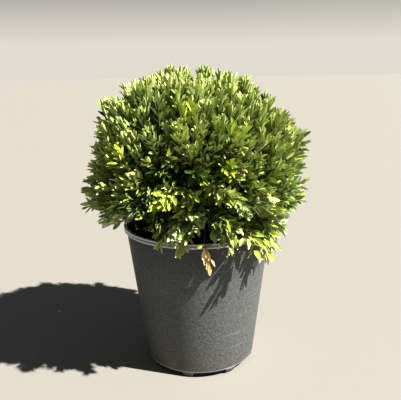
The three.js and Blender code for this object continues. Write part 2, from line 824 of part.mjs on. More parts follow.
const wood = new THREE.Group();
const wider = [limb({ ...TRUNK, grow: CLEARANCE })];
wood.add(node("trunk", limb(TRUNK), "bark"));
for (const mass of masses) {
  const cut = wider.reduce((left, other) => left.subtract(other), limb(mass.shape));
  wood.add(node(`${mass.label}_bough`, tidy(cut), "bark"));
  wider.push(limb({ ...mass.shape, grow: CLEARANCE }));
}
const lowShoot = wider.reduce((left, other) => left.subtract(other), limb(LOW_SHOOT));
wood.add(node("low_front_shoot", tidy(lowShoot), "bark"));
wider.push(limb({ ...LOW_SHOOT, grow: CLEARANCE }));

const foliage = new THREE.Group();
const allWood = joined(wider);
const lump = makeLump();
for (const mass of masses) {
  const grown = growMass(mass, lump).subtract(allWood);
  foliage.add(node(`${mass.label}_leaves`, tidy(grown), "foliage"));
}
foliage.add(node("withered_sprig", tidy(makeSprig().subtract(allWood)), "dryLeaf"));

const topiary = new THREE.Group();
topiary.add(container, wood, foliage);
export default topiary;
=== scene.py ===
import math
from functools import lru_cache, partial
from random import Random

import bpy
import numpy as np
from mathutils import Matrix, Vector, noise


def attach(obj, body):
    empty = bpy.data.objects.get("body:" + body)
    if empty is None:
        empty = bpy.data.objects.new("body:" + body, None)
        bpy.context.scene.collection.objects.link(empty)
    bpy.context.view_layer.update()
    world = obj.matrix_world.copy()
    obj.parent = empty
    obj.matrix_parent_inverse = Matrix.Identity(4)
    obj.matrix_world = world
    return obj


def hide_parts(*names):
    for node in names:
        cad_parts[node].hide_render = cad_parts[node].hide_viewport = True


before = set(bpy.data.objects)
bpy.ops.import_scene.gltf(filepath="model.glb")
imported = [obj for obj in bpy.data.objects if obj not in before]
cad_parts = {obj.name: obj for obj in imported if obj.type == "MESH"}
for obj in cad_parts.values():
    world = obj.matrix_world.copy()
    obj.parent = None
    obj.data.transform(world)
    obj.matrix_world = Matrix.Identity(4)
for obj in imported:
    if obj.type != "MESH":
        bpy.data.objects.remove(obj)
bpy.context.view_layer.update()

# The camera stands in front of the pot, level with the top of the crown, and looks down on the plant.
# Its lens, height and slight roll are the ones that give the ellipses of the rim and foot in the photo.
CAMERA_PLACE = (0.0054, -1.009, 0.589)
CAMERA_LENS = 46.7
CAMERA_PITCH = math.radians(-14.36)
CAMERA_ROLL = math.radians(-0.97)

camera = bpy.data.objects.new("camera", bpy.data.cameras.new("camera"))
camera.data.lens = CAMERA_LENS
camera.location = CAMERA_PLACE
tilt = Matrix.Rotation(math.pi / 2 + CAMERA_PITCH, 3, "X")
camera.rotation_euler = (tilt @ Matrix.Rotation(CAMERA_ROLL, 3, "Z")).to_euler()
bpy.context.scene.collection.objects.link(camera)
bpy.context.scene.camera = camera


# The pot is a 14 litre nursery container, injection moulded in one piece from recycled polypropylene.
# Its wall leans out to a rolled rim with a shallow groove. Below, it stands on eight short feet, with wide
# flat-topped drain openings between them.
POT_HEIGHT = 0.288
RIM_RADIUS = 0.149
RIM_WIDTH = 0.0054
RIM_DEPTH = 0.009
RIM_GROOVE = 0.0016
BASE_RADIUS = 0.110
FOOT_RADIUS = 0.100
WALL = 0.0022
WALL_LEAN = 0.1215
CORNER_RISE = 0.014
POT_SIDES = 192
DRAIN_COUNT = 8
DRAIN_TURN = math.radians(9.6)
DRAIN_WIDTH = 0.066
DRAIN_HEIGHT = 0.011
DRAIN_CORNER = 0.004
DRAIN_LENGTH = 0.026
POT_GREY = "#494b4b"
GREY_WORN = "#5e6060"
GREY_DEEP = "#2e3031"
RIM_GREY = "#63666f"
RIM_PALE = "#cdd1de"
SPECK_GREY = "#b4b6b2"
PLASTIC_IOR = 1.49
SCRATCH_GREY = "#8a8b88"
SPLASHED_SOIL = "#463a2f"
GRAIN_SIZE = 0.0030
SPECK_GAP = 0.0036
SCUFF_SIZE = 0.060
SCRATCH_GAP = 0.0035
SCRATCHES_A_METRE = 9
RIM_SHADE_FROM = 0.2
SPLASH_HEIGHT = 0.075
SPATTER_SIZE = 0.018
EDGE_BAND = 0.001
NICK_SIZE = 0.006
LIP_TOP_HIGHLIGHT = 0.0012
LIP_FOOT_HIGHLIGHT = 0.0018
LIP_HIGHLIGHT_FADE = 0.0018


def linear(hex_colour):
    """An sRGB hex colour as the linear colour that a shader takes."""
    parts = [int(hex_colour[i:i + 2], 16) / 255 for i in (1, 3, 5)]
    return (*[p / 12.92 if p <= 0.04045 else ((p + 0.055) / 1.055) ** 2.4 for p in parts], 1)


def add_node(tree, kind, inputs, **settings):
    """Adds a node. A node or socket given as an input is linked, a node by its first output in use."""
    node = tree.nodes.new("ShaderNode" + kind)
    for name, value in settings.items():
        setattr(node, name, value)
    for name, value in inputs.items():
        if isinstance(value, bpy.types.Node):
            value = next(socket for socket in value.outputs if socket.enabled)
        if isinstance(value, bpy.types.NodeSocket):
            tree.links.new(value, node.inputs[name])
        else:
            node.inputs[name].default_value = value
    return node


def new_material(name):
    """An empty material, and what adds a node to it."""
    material = bpy.data.materials.new(name)
    material.use_nodes = True
    material.node_tree.nodes.clear()
    return material, partial(add_node, material.node_tree)


# The places of a colour Mix node's inputs, which share their names with its other kinds.
MIX_A = 6
MIX_B = 7


def new_piece(name, points, faces, finishes, crease=35):
    """A mesh object on the plant's one body, smooth except where faces meet at more than the crease angle."""
    mesh = bpy.data.meshes.new(name)
    mesh.from_pydata(points, [], faces)
    for finish in finishes:
        mesh.materials.append(finish)
    mesh.shade_smooth()
    mesh.set_sharp_from_angle(angle=math.radians(crease))
    piece = bpy.data.objects.new(name, mesh)
    bpy.context.scene.collection.objects.link(piece)
    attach(piece, "root")
    return piece


def wall_radius(height):
    """Radius of the pot's outer face."""
    return BASE_RADIUS + WALL_LEAN * height


def rounded(corners, steps=5):
    """A section through corners given as radius, height and rounding, with each corner eased."""
    section = []
    for i, (radius, height, rounding) in enumerate(corners):
        corner = Vector((radius, height))
        if rounding == 0:
            section.append(corner)
            continue
        before = Vector(corners[i - 1][:2]) - corner
        after = Vector(corners[i + 1][:2]) - corner
        start = corner + before.normalized() * rounding
        end = corner + after.normalized() * rounding
        for step in range(steps + 1):
            share = step / steps
            section.append(start.lerp(corner, share).lerp(corner.lerp(end, share), share))
    return section


def lathe(section, sides, relief=None):
    """Points and faces of a section, from axis to axis, turned about the Z axis."""
    points = [Vector((0, 0, section[0].y))]
    inner = section[1:-1]
    for i in range(sides):
        turn = 2 * math.pi * i / sides
        for radius, height in inner:
            point = Vector((radius * math.cos(turn), radius * math.sin(turn), height))
            points.append(point + relief(point) if relief else point)
    points.append(Vector((0, 0, section[-1].y)))
    faces = []
    count = len(inner)
    for i in range(sides):
        here = 1 + i * count
        there = 1 + (i + 1) % sides * count
        faces.append((0, there, here))
        for j in range(count - 1):
            faces.append((here + j, there + j, there + j + 1, here + j + 1))
        faces.append((len(points) - 1, here + count - 1, there + count - 1))
    return points, faces


# The pot's section, by radius, height and rounding, from the middle of its underside to that of its floor.
under_rim = POT_HEIGHT - RIM_DEPTH
groove_foot = POT_HEIGHT - RIM_GROOVE
rim_inner = RIM_RADIUS - RIM_WIDTH
inner_corner = wall_radius(CORNER_RISE) - WALL
pot_section = rounded([
    (0, 0, 0),
    (FOOT_RADIUS, 0, 0),
    (wall_radius(0), 0, 0.0098),
    (wall_radius(0.013), 0.013, 0),
    (wall_radius(0.1), 0.1, 0),
    (wall_radius(0.2), 0.2, 0),
    (wall_radius(under_rim), under_rim, 0.0006),
    (RIM_RADIUS, under_rim + 0.0002, 0.0009),
    (RIM_RADIUS, POT_HEIGHT, 0.0011),
    (RIM_RADIUS - 0.0023, POT_HEIGHT, 0.0004),
    (RIM_RADIUS - 0.0027, groove_foot, 0.0003),
    (RIM_RADIUS - 0.0034, groove_foot, 0.0003),
    (RIM_RADIUS - 0.0038, POT_HEIGHT - 0.0003, 0.0004),
    (rim_inner, POT_HEIGHT - 0.0003, 0.0007),
    (wall_radius(under_rim) - WALL, under_rim, 0.002),
    (inner_corner, CORNER_RISE, 0.004),
    (FOOT_RADIUS, WALL, 0.004),
    (0, WALL, 0),
])

moulded_plastic, add = new_material("moulded_recycled_polypropylene")
place = add("TexCoord", {}).outputs["Object"]
# Recycled plastic is mottled: grains of paler and darker grey, drawn coarser than life so that they show.
grain = add("TexNoise", {"Vector": place, "Scale": 1 / GRAIN_SIZE, "Detail": 3})
mottle = add("MapRange", {"Value": grain, "From Min": 0.36, "From Max": 0.66})
grey = add("Mix", {"Factor": mottle, MIX_A: linear(GREY_DEEP), MIX_B: linear(GREY_WORN)}, data_type="RGBA")
# Handling has scuffed it in soft patches, where the mottle shows more.
scuff = add("TexNoise", {"Vector": place, "Scale": 1 / SCUFF_SIZE, "Detail": 5})
scuffed = add("MapRange", {"Value": scuff, "From Min": 0.35, "From Max": 0.7, "To Min": 0.35, "To Max": 0.8})
finish = add("Mix", {"Factor": scuffed, MIX_A: linear(POT_GREY), MIX_B: grey}, data_type="RGBA")
# Towards the rim the wall is painted darker: painted shade from the rim and the crown that overhangs it.
height = add("SeparateXYZ", {"Vector": place}).outputs["Z"]
painted_rim_shade = add("MapRange", {"Value": height, "From Min": RIM_SHADE_FROM, "From Max": POT_HEIGHT})
# Pale specks show all over it: grains of mineral filler, and painted glints for the sparkle of the sunlit
# wall. They are drawn larger than the real 0.3 mm.
cells = add("TexVoronoi", {"Vector": place, "Scale": 1 / SPECK_GAP})
speck_and_glint = add("MapRange", {"Value": cells, "From Min": 0.1, "From Max": 0.19, "To Min": 0.38, "To Max": 0})
# Stacked pots rub each other, which leaves fine scratches round the wall.
stretched = add("Mapping", {
    "Vector": place, "Scale": (SCRATCHES_A_METRE, SCRATCHES_A_METRE, 1 / SCRATCH_GAP),
})
scratch = add("TexNoise", {"Vector": stretched, "Scale": 1, "Detail": 2})
scratched = add("MapRange", {"Value": scratch, "From Min": 0.66, "From Max": 0.72, "To Max": 0.3})
# Rain has splashed soil up the foot, in spatters.
low = add("MapRange", {"Value": height, "From Max": SPLASH_HEIGHT, "To Min": 0.75, "To Max": 0})
spatter = add("TexNoise", {"Vector": place, "Scale": 1 / SPATTER_SIZE, "Detail": 6})
blotches = add("MapRange", {"Value": spatter, "From Min": 0.36, "From Max": 0.64, "To Max": 0.8})
splash = add("Math", {0: low, 1: blotches}, operation="MULTIPLY")
# The edge over the drain openings is rubbed a little paler, and the pale band is also a painted highlight
# along that edge.
above_edge = add("Math", {0: height, 1: DRAIN_HEIGHT + EDGE_BAND}, operation="SUBTRACT")
from_edge = add("Math", {0: above_edge}, operation="ABSOLUTE")
rub_and_highlight = add("MapRange", {
    "Value": from_edge, "From Min": EDGE_BAND, "From Max": 2.2 * EDGE_BAND, "To Min": 0.28, "To Max": 0,
})
# Each of these lies over the ones before it.
marks = [
    (painted_rim_shade, GREY_DEEP), (speck_and_glint, SPECK_GREY), (scratched, SCRATCH_GREY),
    (splash, SPLASHED_SOIL), (rub_and_highlight, RIM_PALE),
]
for cover, colour in marks:
    finish = add("Mix", {"Factor": cover, MIX_A: finish, MIX_B: linear(colour)}, data_type="RGBA")
dull = add("MapRange", {"Value": grain, "To Min": 0.48, "To Max": 0.72})
skin = add("Bump", {"Height": grain, "Strength": 0.65, "Distance": 0.0008})
shader = add("BsdfPrincipled", {"Base Color": finish, "Roughness": dull, "Normal": skin, "IOR": PLASTIC_IOR})
add("OutputMaterial", {"Surface": shader})

# The lip is polished by hands and by the pots that were stacked in it, so it is smoother and shines.
polished_lip, add = new_material("hand_polished_polypropylene")
place = add("TexCoord", {}).outputs["Object"]
wear = add("TexNoise", {"Vector": place, "Scale": 1 / NICK_SIZE, "Detail": 3})
nicks = add("Bump", {"Height": wear, "Strength": 0.25, "Distance": 0.0005})
sheen = add("MapRange", {"Value": wear, "To Min": 0.18, "To Max": 0.36})
# Its two edges are painted palest, as painted highlights where their rounding catches the light.
height = add("SeparateXYZ", {"Vector": place}).outputs["Z"]
highlight_at = POT_HEIGHT - LIP_TOP_HIGHLIGHT
upper_highlight = add("MapRange", {"Value": height, "From Min": highlight_at - LIP_HIGHLIGHT_FADE, "From Max": highlight_at})
highlight_at = under_rim + LIP_FOOT_HIGHLIGHT
lower_highlight = add("MapRange", {
    "Value": height, "From Min": highlight_at + LIP_HIGHLIGHT_FADE, "From Max": highlight_at, "To Max": 0.8,
})
painted_highlights = add("Math", {0: upper_highlight, 1: lower_highlight}, operation="MAXIMUM")
# The lip's grey is lighter and bluer than the wall's, partly as painted reflection of the sky in its gloss.
lip = add("Mix", {"Factor": painted_highlights, MIX_A: linear(RIM_GREY), MIX_B: linear(RIM_PALE)}, data_type="RGBA")
shader = add("BsdfPrincipled", {"Base Color": lip, "Roughness": sheen, "Normal": nicks, "IOR": PLASTIC_IOR})
add("OutputMaterial", {"Surface": shader})

points, faces = lathe(pot_section, POT_SIDES)
pot = new_piece("moulded_pot", points, faces, [moulded_plastic, polished_lip])

# The drain openings are cut out of the foot with one block each.
opening = rounded([
    (-DRAIN_WIDTH / 2, -DRAIN_HEIGHT, 0),
    (-DRAIN_WIDTH / 2, DRAIN_HEIGHT, DRAIN_CORNER),
    (DRAIN_WIDTH / 2, DRAIN_HEIGHT, DRAIN_CORNER),
    (DRAIN_WIDTH / 2, -DRAIN_HEIGHT, 0),
])
corners = len(opening)
drain_points = []
drain_faces = []
for i in range(DRAIN_COUNT):
    turned = Matrix.Rotation(DRAIN_TURN + 2 * math.pi * i / DRAIN_COUNT, 4, "Z")
    near = [len(drain_points) + j for j in range(corners)]
    far = [corners + j for j in near]
    for radius in (BASE_RADIUS - DRAIN_LENGTH / 2, BASE_RADIUS + DRAIN_LENGTH / 2):
        drain_points += [turned @ Vector((radius, corner.x, corner.y)) for corner in opening]
    drain_faces += [tuple(near), tuple(reversed(far))]
    for j in range(corners):
        k = (j + 1) % corners
        drain_faces.append((near[j], far[j], far[k], near[k]))
drains = new_piece("drains", drain_points, drain_faces, [moulded_plastic])
cut = pot.modifiers.new("drains", "BOOLEAN")
cut.object = drains
cut.operation = "DIFFERENCE"
cut.solver = "EXACT"
bpy.context.view_layer.update()
cut_pot = pot.evaluated_get(bpy.context.evaluated_depsgraph_get())
whole_mesh = bpy.data.meshes.new_from_object(cut_pot)
pot.modifiers.clear()
pot.data = whole_mesh
is_lip = [int(face.center.z > under_rim) for face in pot.data.polygons]
pot.data.polygons.foreach_set("material_index", is_lip)
bpy.data.objects.remove(drains)
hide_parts("pot")


# The potting mix is composted pine bark, wet and dark brown, poured in loose around the stem.
# It lies a little below the rim, and coarser chips of bark show on top.
SOIL_TOP = 0.264
SOIL_EDGE_TOP = 0.257
SOIL_GAP = 0.0004
SOIL_PATCH_RADIUS = 0.026
SOIL_RINGS = 44
SOIL_SIDES = 150
CLOD_SIZE = 0.009
CLOD_HEIGHT = 0.0022
WALL_FADE = 0.006
STEM_ROOM = 0.016
STEM_FADE = 0.01
CRUMB_SIZE = 0.004
CHIP_COUNT = 1500
CHIP_LENGTHS = (0.003, 0.012)
CHIP_THICKNESSES = (0.001, 0.0028)
CHIP_LEAN = 0.4
FLAKE_SIZE = 0.002
CHIP_COLOURS = ["#33241a", "#4a3324", "#5f4532", "#24190f"]
MIX_DARK = "#1d140d"
MIX_LIGHT = "#3f2d1f"
BARK_IOR = 1.4

inset = WALL + SOIL_GAP
soil_edge = wall_radius(SOIL_EDGE_TOP) - inset


def soil_level(radius):
    """Height of the mix's top, before its clods."""
    share = min(1, (soil_edge - radius) / (soil_edge - SOIL_PATCH_RADIUS))
    return SOIL_EDGE_TOP + (SOIL_TOP - SOIL_EDGE_TOP) * math.sin(share * math.pi / 2)


def clods(point):
    """The mix's lumps, which die away at the wall, at the stem and below the top."""
    radius = math.hypot(point.x, point.y)
    if point.z < SOIL_EDGE_TOP - 0.001:
        return Vector((0, 0, 0))
    fade = min(1, max(0, (soil_edge - radius) / WALL_FADE), max(0, (radius - STEM_ROOM) / STEM_FADE))
    lump = noise.fractal(point / CLOD_SIZE, 0.8, 2, 3)
    return Vector((0, 0, CLOD_HEIGHT * fade * lump))


soil_section = rounded([
    (0, inset, 0),
    (FOOT_RADIUS, inset, 0.002),
    (inner_corner - SOIL_GAP - 0.001, CORNER_RISE, 0.004),
    (soil_edge, SOIL_EDGE_TOP, 0),
])
for ring in range(1, SOIL_RINGS):
    radius = soil_edge * (1 - ring / SOIL_RINGS)
    soil_section.append(Vector((radius, soil_level(radius))))
soil_section.append(Vector((0, SOIL_TOP)))

# Wet composted bark is dark, crumbly and dull.
composted_bark, add = new_material("composted_pine_bark")
place = add("TexCoord", {}).outputs["Object"]
crumb = add("TexNoise", {"Vector": place, "Scale": 1 / CRUMB_SIZE, "Detail": 5, "Roughness": 0.7})
brown = add("Mix", {"Factor": crumb, MIX_A: linear(MIX_DARK), MIX_B: linear(MIX_LIGHT)}, data_type="RGBA")
crumbs = add("Bump", {"Height": crumb, "Strength": 0.9, "Distance": 0.002})
shader = add("BsdfPrincipled", {"Base Color": brown, "Roughness": 0.88, "Normal": crumbs, "IOR": BARK_IOR})
add("OutputMaterial", {"Surface": shader})

points, faces = lathe(soil_section, SOIL_SIDES, clods)
soil = new_piece("potting_mix", points, faces, [composted_bark], crease=60)
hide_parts("potting_soil")

# The chips are flaky, in browns from pale to nearly black.
chip_finishes = []
for number, colour in enumerate(CHIP_COLOURS):
    chip_finish, add = new_material(f"pine_bark_chip_{number + 1}")
    place = add("TexCoord", {}).outputs["Object"]
    layers = add("TexNoise", {"Vector": place, "Scale": 1 / FLAKE_SIZE, "Detail": 3})
    flaky = add("Bump", {"Height": layers, "Strength": 0.6, "Distance": 0.001})
    shader = add("BsdfPrincipled", {
        "Base Color": linear(colour), "Roughness": 0.8, "Normal": flaky, "IOR": BARK_IOR,
    })
    add("OutputMaterial", {"Surface": shader})
    chip_finishes.append(chip_finish)

CHIP_FACES = [(0, 3, 2, 1), (4, 5, 6, 7), (0, 1, 5, 4), (1, 2, 6, 5), (2, 3, 7, 6), (3, 0, 4, 7)]
chance = Random(41)
chip_points = []
chip_faces = []
chip_tints = []
for _ in range(CHIP_COUNT):
    length = chance.uniform(*CHIP_LENGTHS)
    width = length * chance.uniform(0.35, 0.8)
    thickness = chance.uniform(*CHIP_THICKNESSES)
    radius = math.sqrt(chance.uniform(0.03, 1)) * (soil_edge - length)
    turn = chance.uniform(0, 2 * math.pi)
    spin = Matrix.Rotation(chance.uniform(0, math.pi), 4, "Z")
    lean = Matrix.Rotation(chance.uniform(-CHIP_LEAN, CHIP_LEAN), 4, "X")
    lean = lean @ Matrix.Rotation(chance.uniform(-CHIP_LEAN, CHIP_LEAN), 4, "Y")
    spot = Vector((radius * math.cos(turn), radius * math.sin(turn), soil_level(radius)))
    spot.z = spot.z + clods(spot).z + chance.uniform(0, 0.4) * thickness
    for upper in (-0.5, 0.5):
        for x, y in ((-0.5, -0.5), (0.5, -0.5), (0.5, 0.5), (-0.5, 0.5)):
            corner = Vector((x * length, y * width, upper * thickness))
            corner.x *= chance.uniform(0.6, 1)
            corner.y *= chance.uniform(0.6, 1)
            chip_points.append(Matrix.Translation(spot) @ spin @ lean @ corner)
    start = len(chip_points) - 8
    chip_faces += [tuple(start + corner for corner in face) for face in CHIP_FACES]
    chip_tints += [chance.randrange(len(CHIP_COLOURS))] * len(CHIP_FACES)
chips = new_piece("bark_chips", chip_points, chip_faces, chip_finishes)
chips.data.polygons.foreach_set("material_index", chip_tints)


# The trunk is one short stem of box wood. It leans a little and flares into five root lobes at the mix.
# Box bark is thin, pale greyish tan and finely cracked into small plates, which the mesh is raised by.
CLEARANCE = 0.0003
TRUNK_TOP = Vector((0.003, 0.002, 0.312))
TRUNK_PATH = [
    Vector((0, 0, SOIL_TOP + CLEARANCE)),
    Vector((0, 0, SOIL_TOP + 0.014)),
    Vector((0.001, 0.001, SOIL_TOP + 0.032)),
    TRUNK_TOP,
]
TRUNK_FOOT_RADIUS = 0.013
TRUNK_TOP_RADIUS = 0.0085
TRUNK_RINGS = 44
TRUNK_SIDES = 60
FLARE_SHARE = 0.45
FLARE_LOBES = 5
BARK_PLATE = 0.0032
BARK_CRACK = 0.0005
PLATE_STRETCH = 0.6
WEATHERED_PATCH = 0.012
BARK_PALE = "#a3937a"
BARK_MID = "#7d6d58"
BARK_CRACKED = "#453a2d"


def smooth_line(knots, count):
    """Points at even steps along a smooth curve through the knots."""
    ends = [2 * knots[0] - knots[1], *knots, 2 * knots[-1] - knots[-2]]
    guide = np.array(ends)
    share = np.linspace(0, 1, 9)[:-1, None]
    spans = []
    for a, b, c, d in zip(guide, guide[1:], guide[2:], guide[3:]):
        spans.append(0.5 * (2 * b + (c - a) * share + (2 * a - 5 * b + 4 * c - d) * share**2
                            + (3 * b - a - 3 * c + d) * share**3))
    fine = np.vstack([*spans, guide[-2]])
    travelled = np.concatenate([[0], np.cumsum(np.linalg.norm(np.diff(fine, axis=0), axis=1))])
    stops = np.linspace(0, travelled[-1], count)
    return np.column_stack([np.interp(stops, travelled, fine[:, axis]) for axis in range(3)])


@lru_cache(maxsize=None)
def tube_faces(rings, sides):
    """Faces of a closed tube of so many rings."""
    around_ring = [(j, (j + 1) % sides) for j in range(sides)]
    made = [tuple(reversed(range(sides)))]
    for i in range(rings - 1):
        low = i * sides
        made += [(low + j, low + k, low + sides + k, low + sides + j) for j, k in around_ring]
    made.append(tuple((rings - 1) * sides + j for j in range(sides)))
    return made


def tube(line, radii, sides, lobes=None, relief=None):
    """Points and faces of a closed tube along a line, with radii given for its points."""
    ahead = np.gradient(line, axis=0)
    ahead /= np.linalg.norm(ahead, axis=1)[:, None]
    turns = 2 * math.pi * np.arange(sides) / sides
    beside = np.cross(ahead[0], (0, 1, 0) if abs(ahead[0][1]) < 0.9 else (1, 0, 0))
    made = []
    for i, (centre, forward) in enumerate(zip(line, ahead)):
        beside = beside - forward * (beside @ forward)
        beside /= np.linalg.norm(beside)
        above = np.cross(forward, beside)
        share = i / (len(line) - 1)
        rays = np.outer(np.cos(turns), beside) + np.outer(np.sin(turns), above)
        spread = radii[i] * (lobes(turns, share) if lobes else np.ones(sides))
        if relief:
            spread = spread + np.array([relief(Vector(centre + ray * radii[i]), forward) for ray in rays])
        made.append(centre + rays * spread[:, None])
    return np.vstack(made), tube_faces(len(line), sides)


def bark_relief(point, forward):
    """How far the bark stands out: plates longer along the limb, with cracks between them."""
    along = Vector(forward)
    squeezed = point - along * (PLATE_STRETCH * point.dot(along))
    plates = noise.fractal(squeezed / BARK_PLATE, 0.9, 2.1, 3)
    return BARK_CRACK * (1 - 2 * abs(plates))


def flare(turns, share):
    """The root lobes, by turn round the stem and share of its length."""
    return 1 + max(0, FLARE_SHARE - share) * (0.55 + 0.45 * np.cos(FLARE_LOBES * turns))


# The bark's dry plates are dull and weathered in patches, with dark cracks between them.
box_bark, add = new_material("box_wood_bark")
place = add("TexCoord", {}).outputs["Object"]
plates = add("TexVoronoi", {"Vector": place, "Scale": 1 / BARK_PLATE}, feature="DISTANCE_TO_EDGE")
crack = add("MapRange", {"Value": plates, "From Max": 0.16})
worn = add("TexNoise", {"Vector": place, "Scale": 1 / WEATHERED_PATCH, "Detail": 4})
plate = add("Mix", {"Factor": worn, MIX_A: linear(BARK_MID), MIX_B: linear(BARK_PALE)}, data_type="RGBA")
cracked = add("Mix", {"Factor": crack, MIX_A: linear(BARK_CRACKED), MIX_B: plate}, data_type="RGBA")
raised = add("Bump", {"Height": crack, "Strength": 0.7, "Distance": 0.0005})
shader = add("BsdfPrincipled", {"Base Color": cracked, "Roughness": 0.85, "Normal": raised, "IOR": BARK_IOR})
add("OutputMaterial", {"Surface": shader})

line = smooth_line(TRUNK_PATH, TRUNK_RINGS)
radii = np.linspace(TRUNK_FOOT_RADIUS, TRUNK_TOP_RADIUS, TRUNK_RINGS)
points, faces = tube(line, radii, TRUNK_SIDES, flare, bark_relief)
points[:TRUNK_SIDES, 2] = SOIL_TOP + CLEARANCE
trunk = new_piece("trunk_bark", points, faces, [box_bark], crease=60)
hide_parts("trunk")


# The boughs leave the trunk in four tiers: one leader up the middle, five to the shoulders of the ball,
# six to its sides and six to its skirt. Each is one tapering limb that ends where its own leaves begin.
CROWN_CENTRE = Vector((0, 0, 0.386))
MASS_FOOT_SHARE = 0.45
BOUGH_POINTS = 4
BOUGH_RINGS = 60
BOUGH_SIDES = 16

# How far the leaf tips stand from the crown's centre, by elevation in degrees.
REACH = [(-90, 0.110), (-40, 0.174), (-20, 0.214), (0, 0.217), (30, 0.224), (52, 0.220), (90, 0.201)]

# The share by which the skirt's leaf tips spread wider than that, by azimuth.
SKIRT_SPREAD = [
    (-180, 0.07), (-140, 0.07), (-100, 0.03), (-60, 0.05), (-25, 0.02),
    (0, -0.06), (30, -0.05), (70, 0), (130, 0), (180, 0.07),
]

# How much of that spread counts, by elevation.
SPREAD_COUNTS = [(-90, 1), (-16, 1), (-3, 0.85), (10, 0), (90, 0)]

# Where new growth stands out of the clipped ball or the shears have dipped into it: azimuth, elevation and
# radius in degrees, and share of the reach.
UNEVEN = [
    (180, 52, 16, 0.05), (172, 32, 10, 0.06), (184, 71, 9, 0.06), (2, 62, 8, 0.07),
    (0, 76, 8, -0.06), (0, 49, 7, -0.05), (-2, -14, 7, -0.04), (-2, 44, 10, -0.10),
    (0, 18, 10, 0.05), (120, 60, 12, 0.05), (80, 30, 12, -0.04), (60, 58, 10, 0.04),
]

# A tier's boughs start at a turn from their own azimuth, a radius and a height, and each next one climbs by
# so much. On its way a bough bows up or down, and swings to one side and back.
TIERS = {
    "crown": {
        "count": 1, "azimuth": 0, "elevation": 90, "radii": (0.0066, 0.0028), "bow": 0, "swing": 0.004,
        "start": (34, 0.0036, TRUNK_TOP.z + CLEARANCE, 0),
    },
    "shoulder": {
        "count": 5, "azimuth": -126, "elevation": 42, "radii": (0.0046, 0.0024), "bow": 0.003, "swing": 0.004,
        "start": (0, 0.0015, 0.326, 0.009),
    },
    "side": {
        "count": 6, "azimuth": -80, "elevation": 7, "radii": (0.0052, 0.0026), "bow": -0.012, "swing": 0.003,
        "start": (0, 0.001, 0.284, 0.0042),
    },
    "skirt": {
        "count": 6, "azimuth": -110, "elevation": -27, "radii": (0.0036, 0.0022), "bow": -0.003,
        "swing": -0.003, "start": (33, 0.014, 0.291, 0.0042),
    },
}


def direction(azimuth, elevation):
    """A unit vector. Azimuth is measured from +X towards +Y."""
    flat = math.cos(math.radians(elevation))
    turn = math.radians(azimuth)
    return Vector((flat * math.cos(turn), flat * math.sin(turn), math.sin(math.radians(elevation))))


def around(azimuth, radius, height):
    """A point round the pot's axis."""
    point = direction(azimuth, 0) * radius
    point.z = height
    return point


def read_at(rows, angle):
    """A value read from rows of angle and value, on straight lines between them."""
    return float(np.interp(angle, [row[0] for row in rows], [row[1] for row in rows]))


def angles_of(unit):
    """Azimuth and elevation in degrees."""
    return math.degrees(math.atan2(unit.y, unit.x)), math.degrees(math.asin(max(-1, min(1, unit.z))))


def reach_at(outward):
    """How far the leaf tips stand out from the crown's centre."""
    azimuth, elevation = angles_of(outward)
    share = read_at(SPREAD_COUNTS, elevation) * read_at(SKIRT_SPREAD, azimuth)
    for rise_azimuth, rise_elevation, radius, rise in UNEVEN:
        angle = math.degrees(outward.angle(direction(rise_azimuth, rise_elevation)))
        share += rise * max(0, 1 - (angle / radius) ** 2)
    return read_at(REACH, elevation) * (1 + share)


def along_axis(outward, share):
    """A point on a mass's own axis, at a share of the plain reach."""
    return CROWN_CENTRE + outward * (share * read_at(REACH, angles_of(outward)[1]))


def bough_path(tier, azimuth, outward, index):
    """The points that a bough runs through, from its parent to the foot of its mass."""
    turn, radius, height, climb = tier["start"]
    end = along_axis(outward, MASS_FOOT_SHARE)
    aside = direction(azimuth + 90, 0)
    path = []
    for i in range(BOUGH_POINTS):
        share = i / (BOUGH_POINTS - 1)
        level = (height + climb * index) * (1 - share) + end.z * share
        level += tier["bow"] * math.sin(math.pi * share)
        out = radius * (1 - share) + math.hypot(end.x, end.y) * share
        point = around(azimuth + turn * (1 - share), out, level)
        path.append(point + aside * (tier["swing"] * math.sin(2 * math.pi * share)))
    return path


def gathered(parts):
    """Several meshes as one."""
    all_points = []
    all_faces = []
    start = 0
    for part_points, part_faces in parts:
        all_points.append(part_points)
        all_faces += [tuple(start + corner for corner in face) for face in part_faces]
        start += len(part_points)
    return np.vstack(all_points), all_faces


masses = []
for tier_name, tier in TIERS.items():
    for index in range(tier["count"]):
        azimuth = tier["azimuth"] + 360 / tier["count"] * index
        outward = direction(azimuth, tier["elevation"])
        masses.append({
            "tier": tier_name,
            "label": tier_name if tier["count"] == 1 else f"{tier_name}_{index + 1}",
            "outward": outward,
            "path": bough_path(tier, azimuth, outward, index),
            "radii": tier["radii"],
        })

bough_parts = []
for mass in masses:
    line = smooth_line(mass["path"], BOUGH_RINGS)
    bough_parts.append(tube(line, np.linspace(*mass["radii"], BOUGH_RINGS), BOUGH_SIDES, relief=bark_relief))
boughs = new_piece("boughs_bark", *gathered(bough_parts), [box_bark], crease=60)
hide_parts(*[mass["label"] + "_bough" for mass in masses])


# A thin low shoot has grown out sideways from the foot of the stem, and lies over the rim at the front.
# Its bark is young, so the plates on it are shallow.
LOW_SHOOT_AZIMUTH = -85.5
LOW_SHOOT_RADII = (0.0026, 0.0015)
LOW_SHOOT_RINGS = 70
LOW_SHOOT_SIDES = 10
YOUNG_RELIEF = 0.3
LOW_SHOOT_PATH = [
    around(LOW_SHOOT_AZIMUTH, 0.006, 0.279),
    around(LOW_SHOOT_AZIMUTH + 6, 0.050, 0.293),
    around(LOW_SHOOT_AZIMUTH + 2, 0.110, 0.295),
    around(LOW_SHOOT_AZIMUTH, 0.143, POT_HEIGHT + 0.0034),
    around(LOW_SHOOT_AZIMUTH, 0.153, POT_HEIGHT - 0.0006),
]


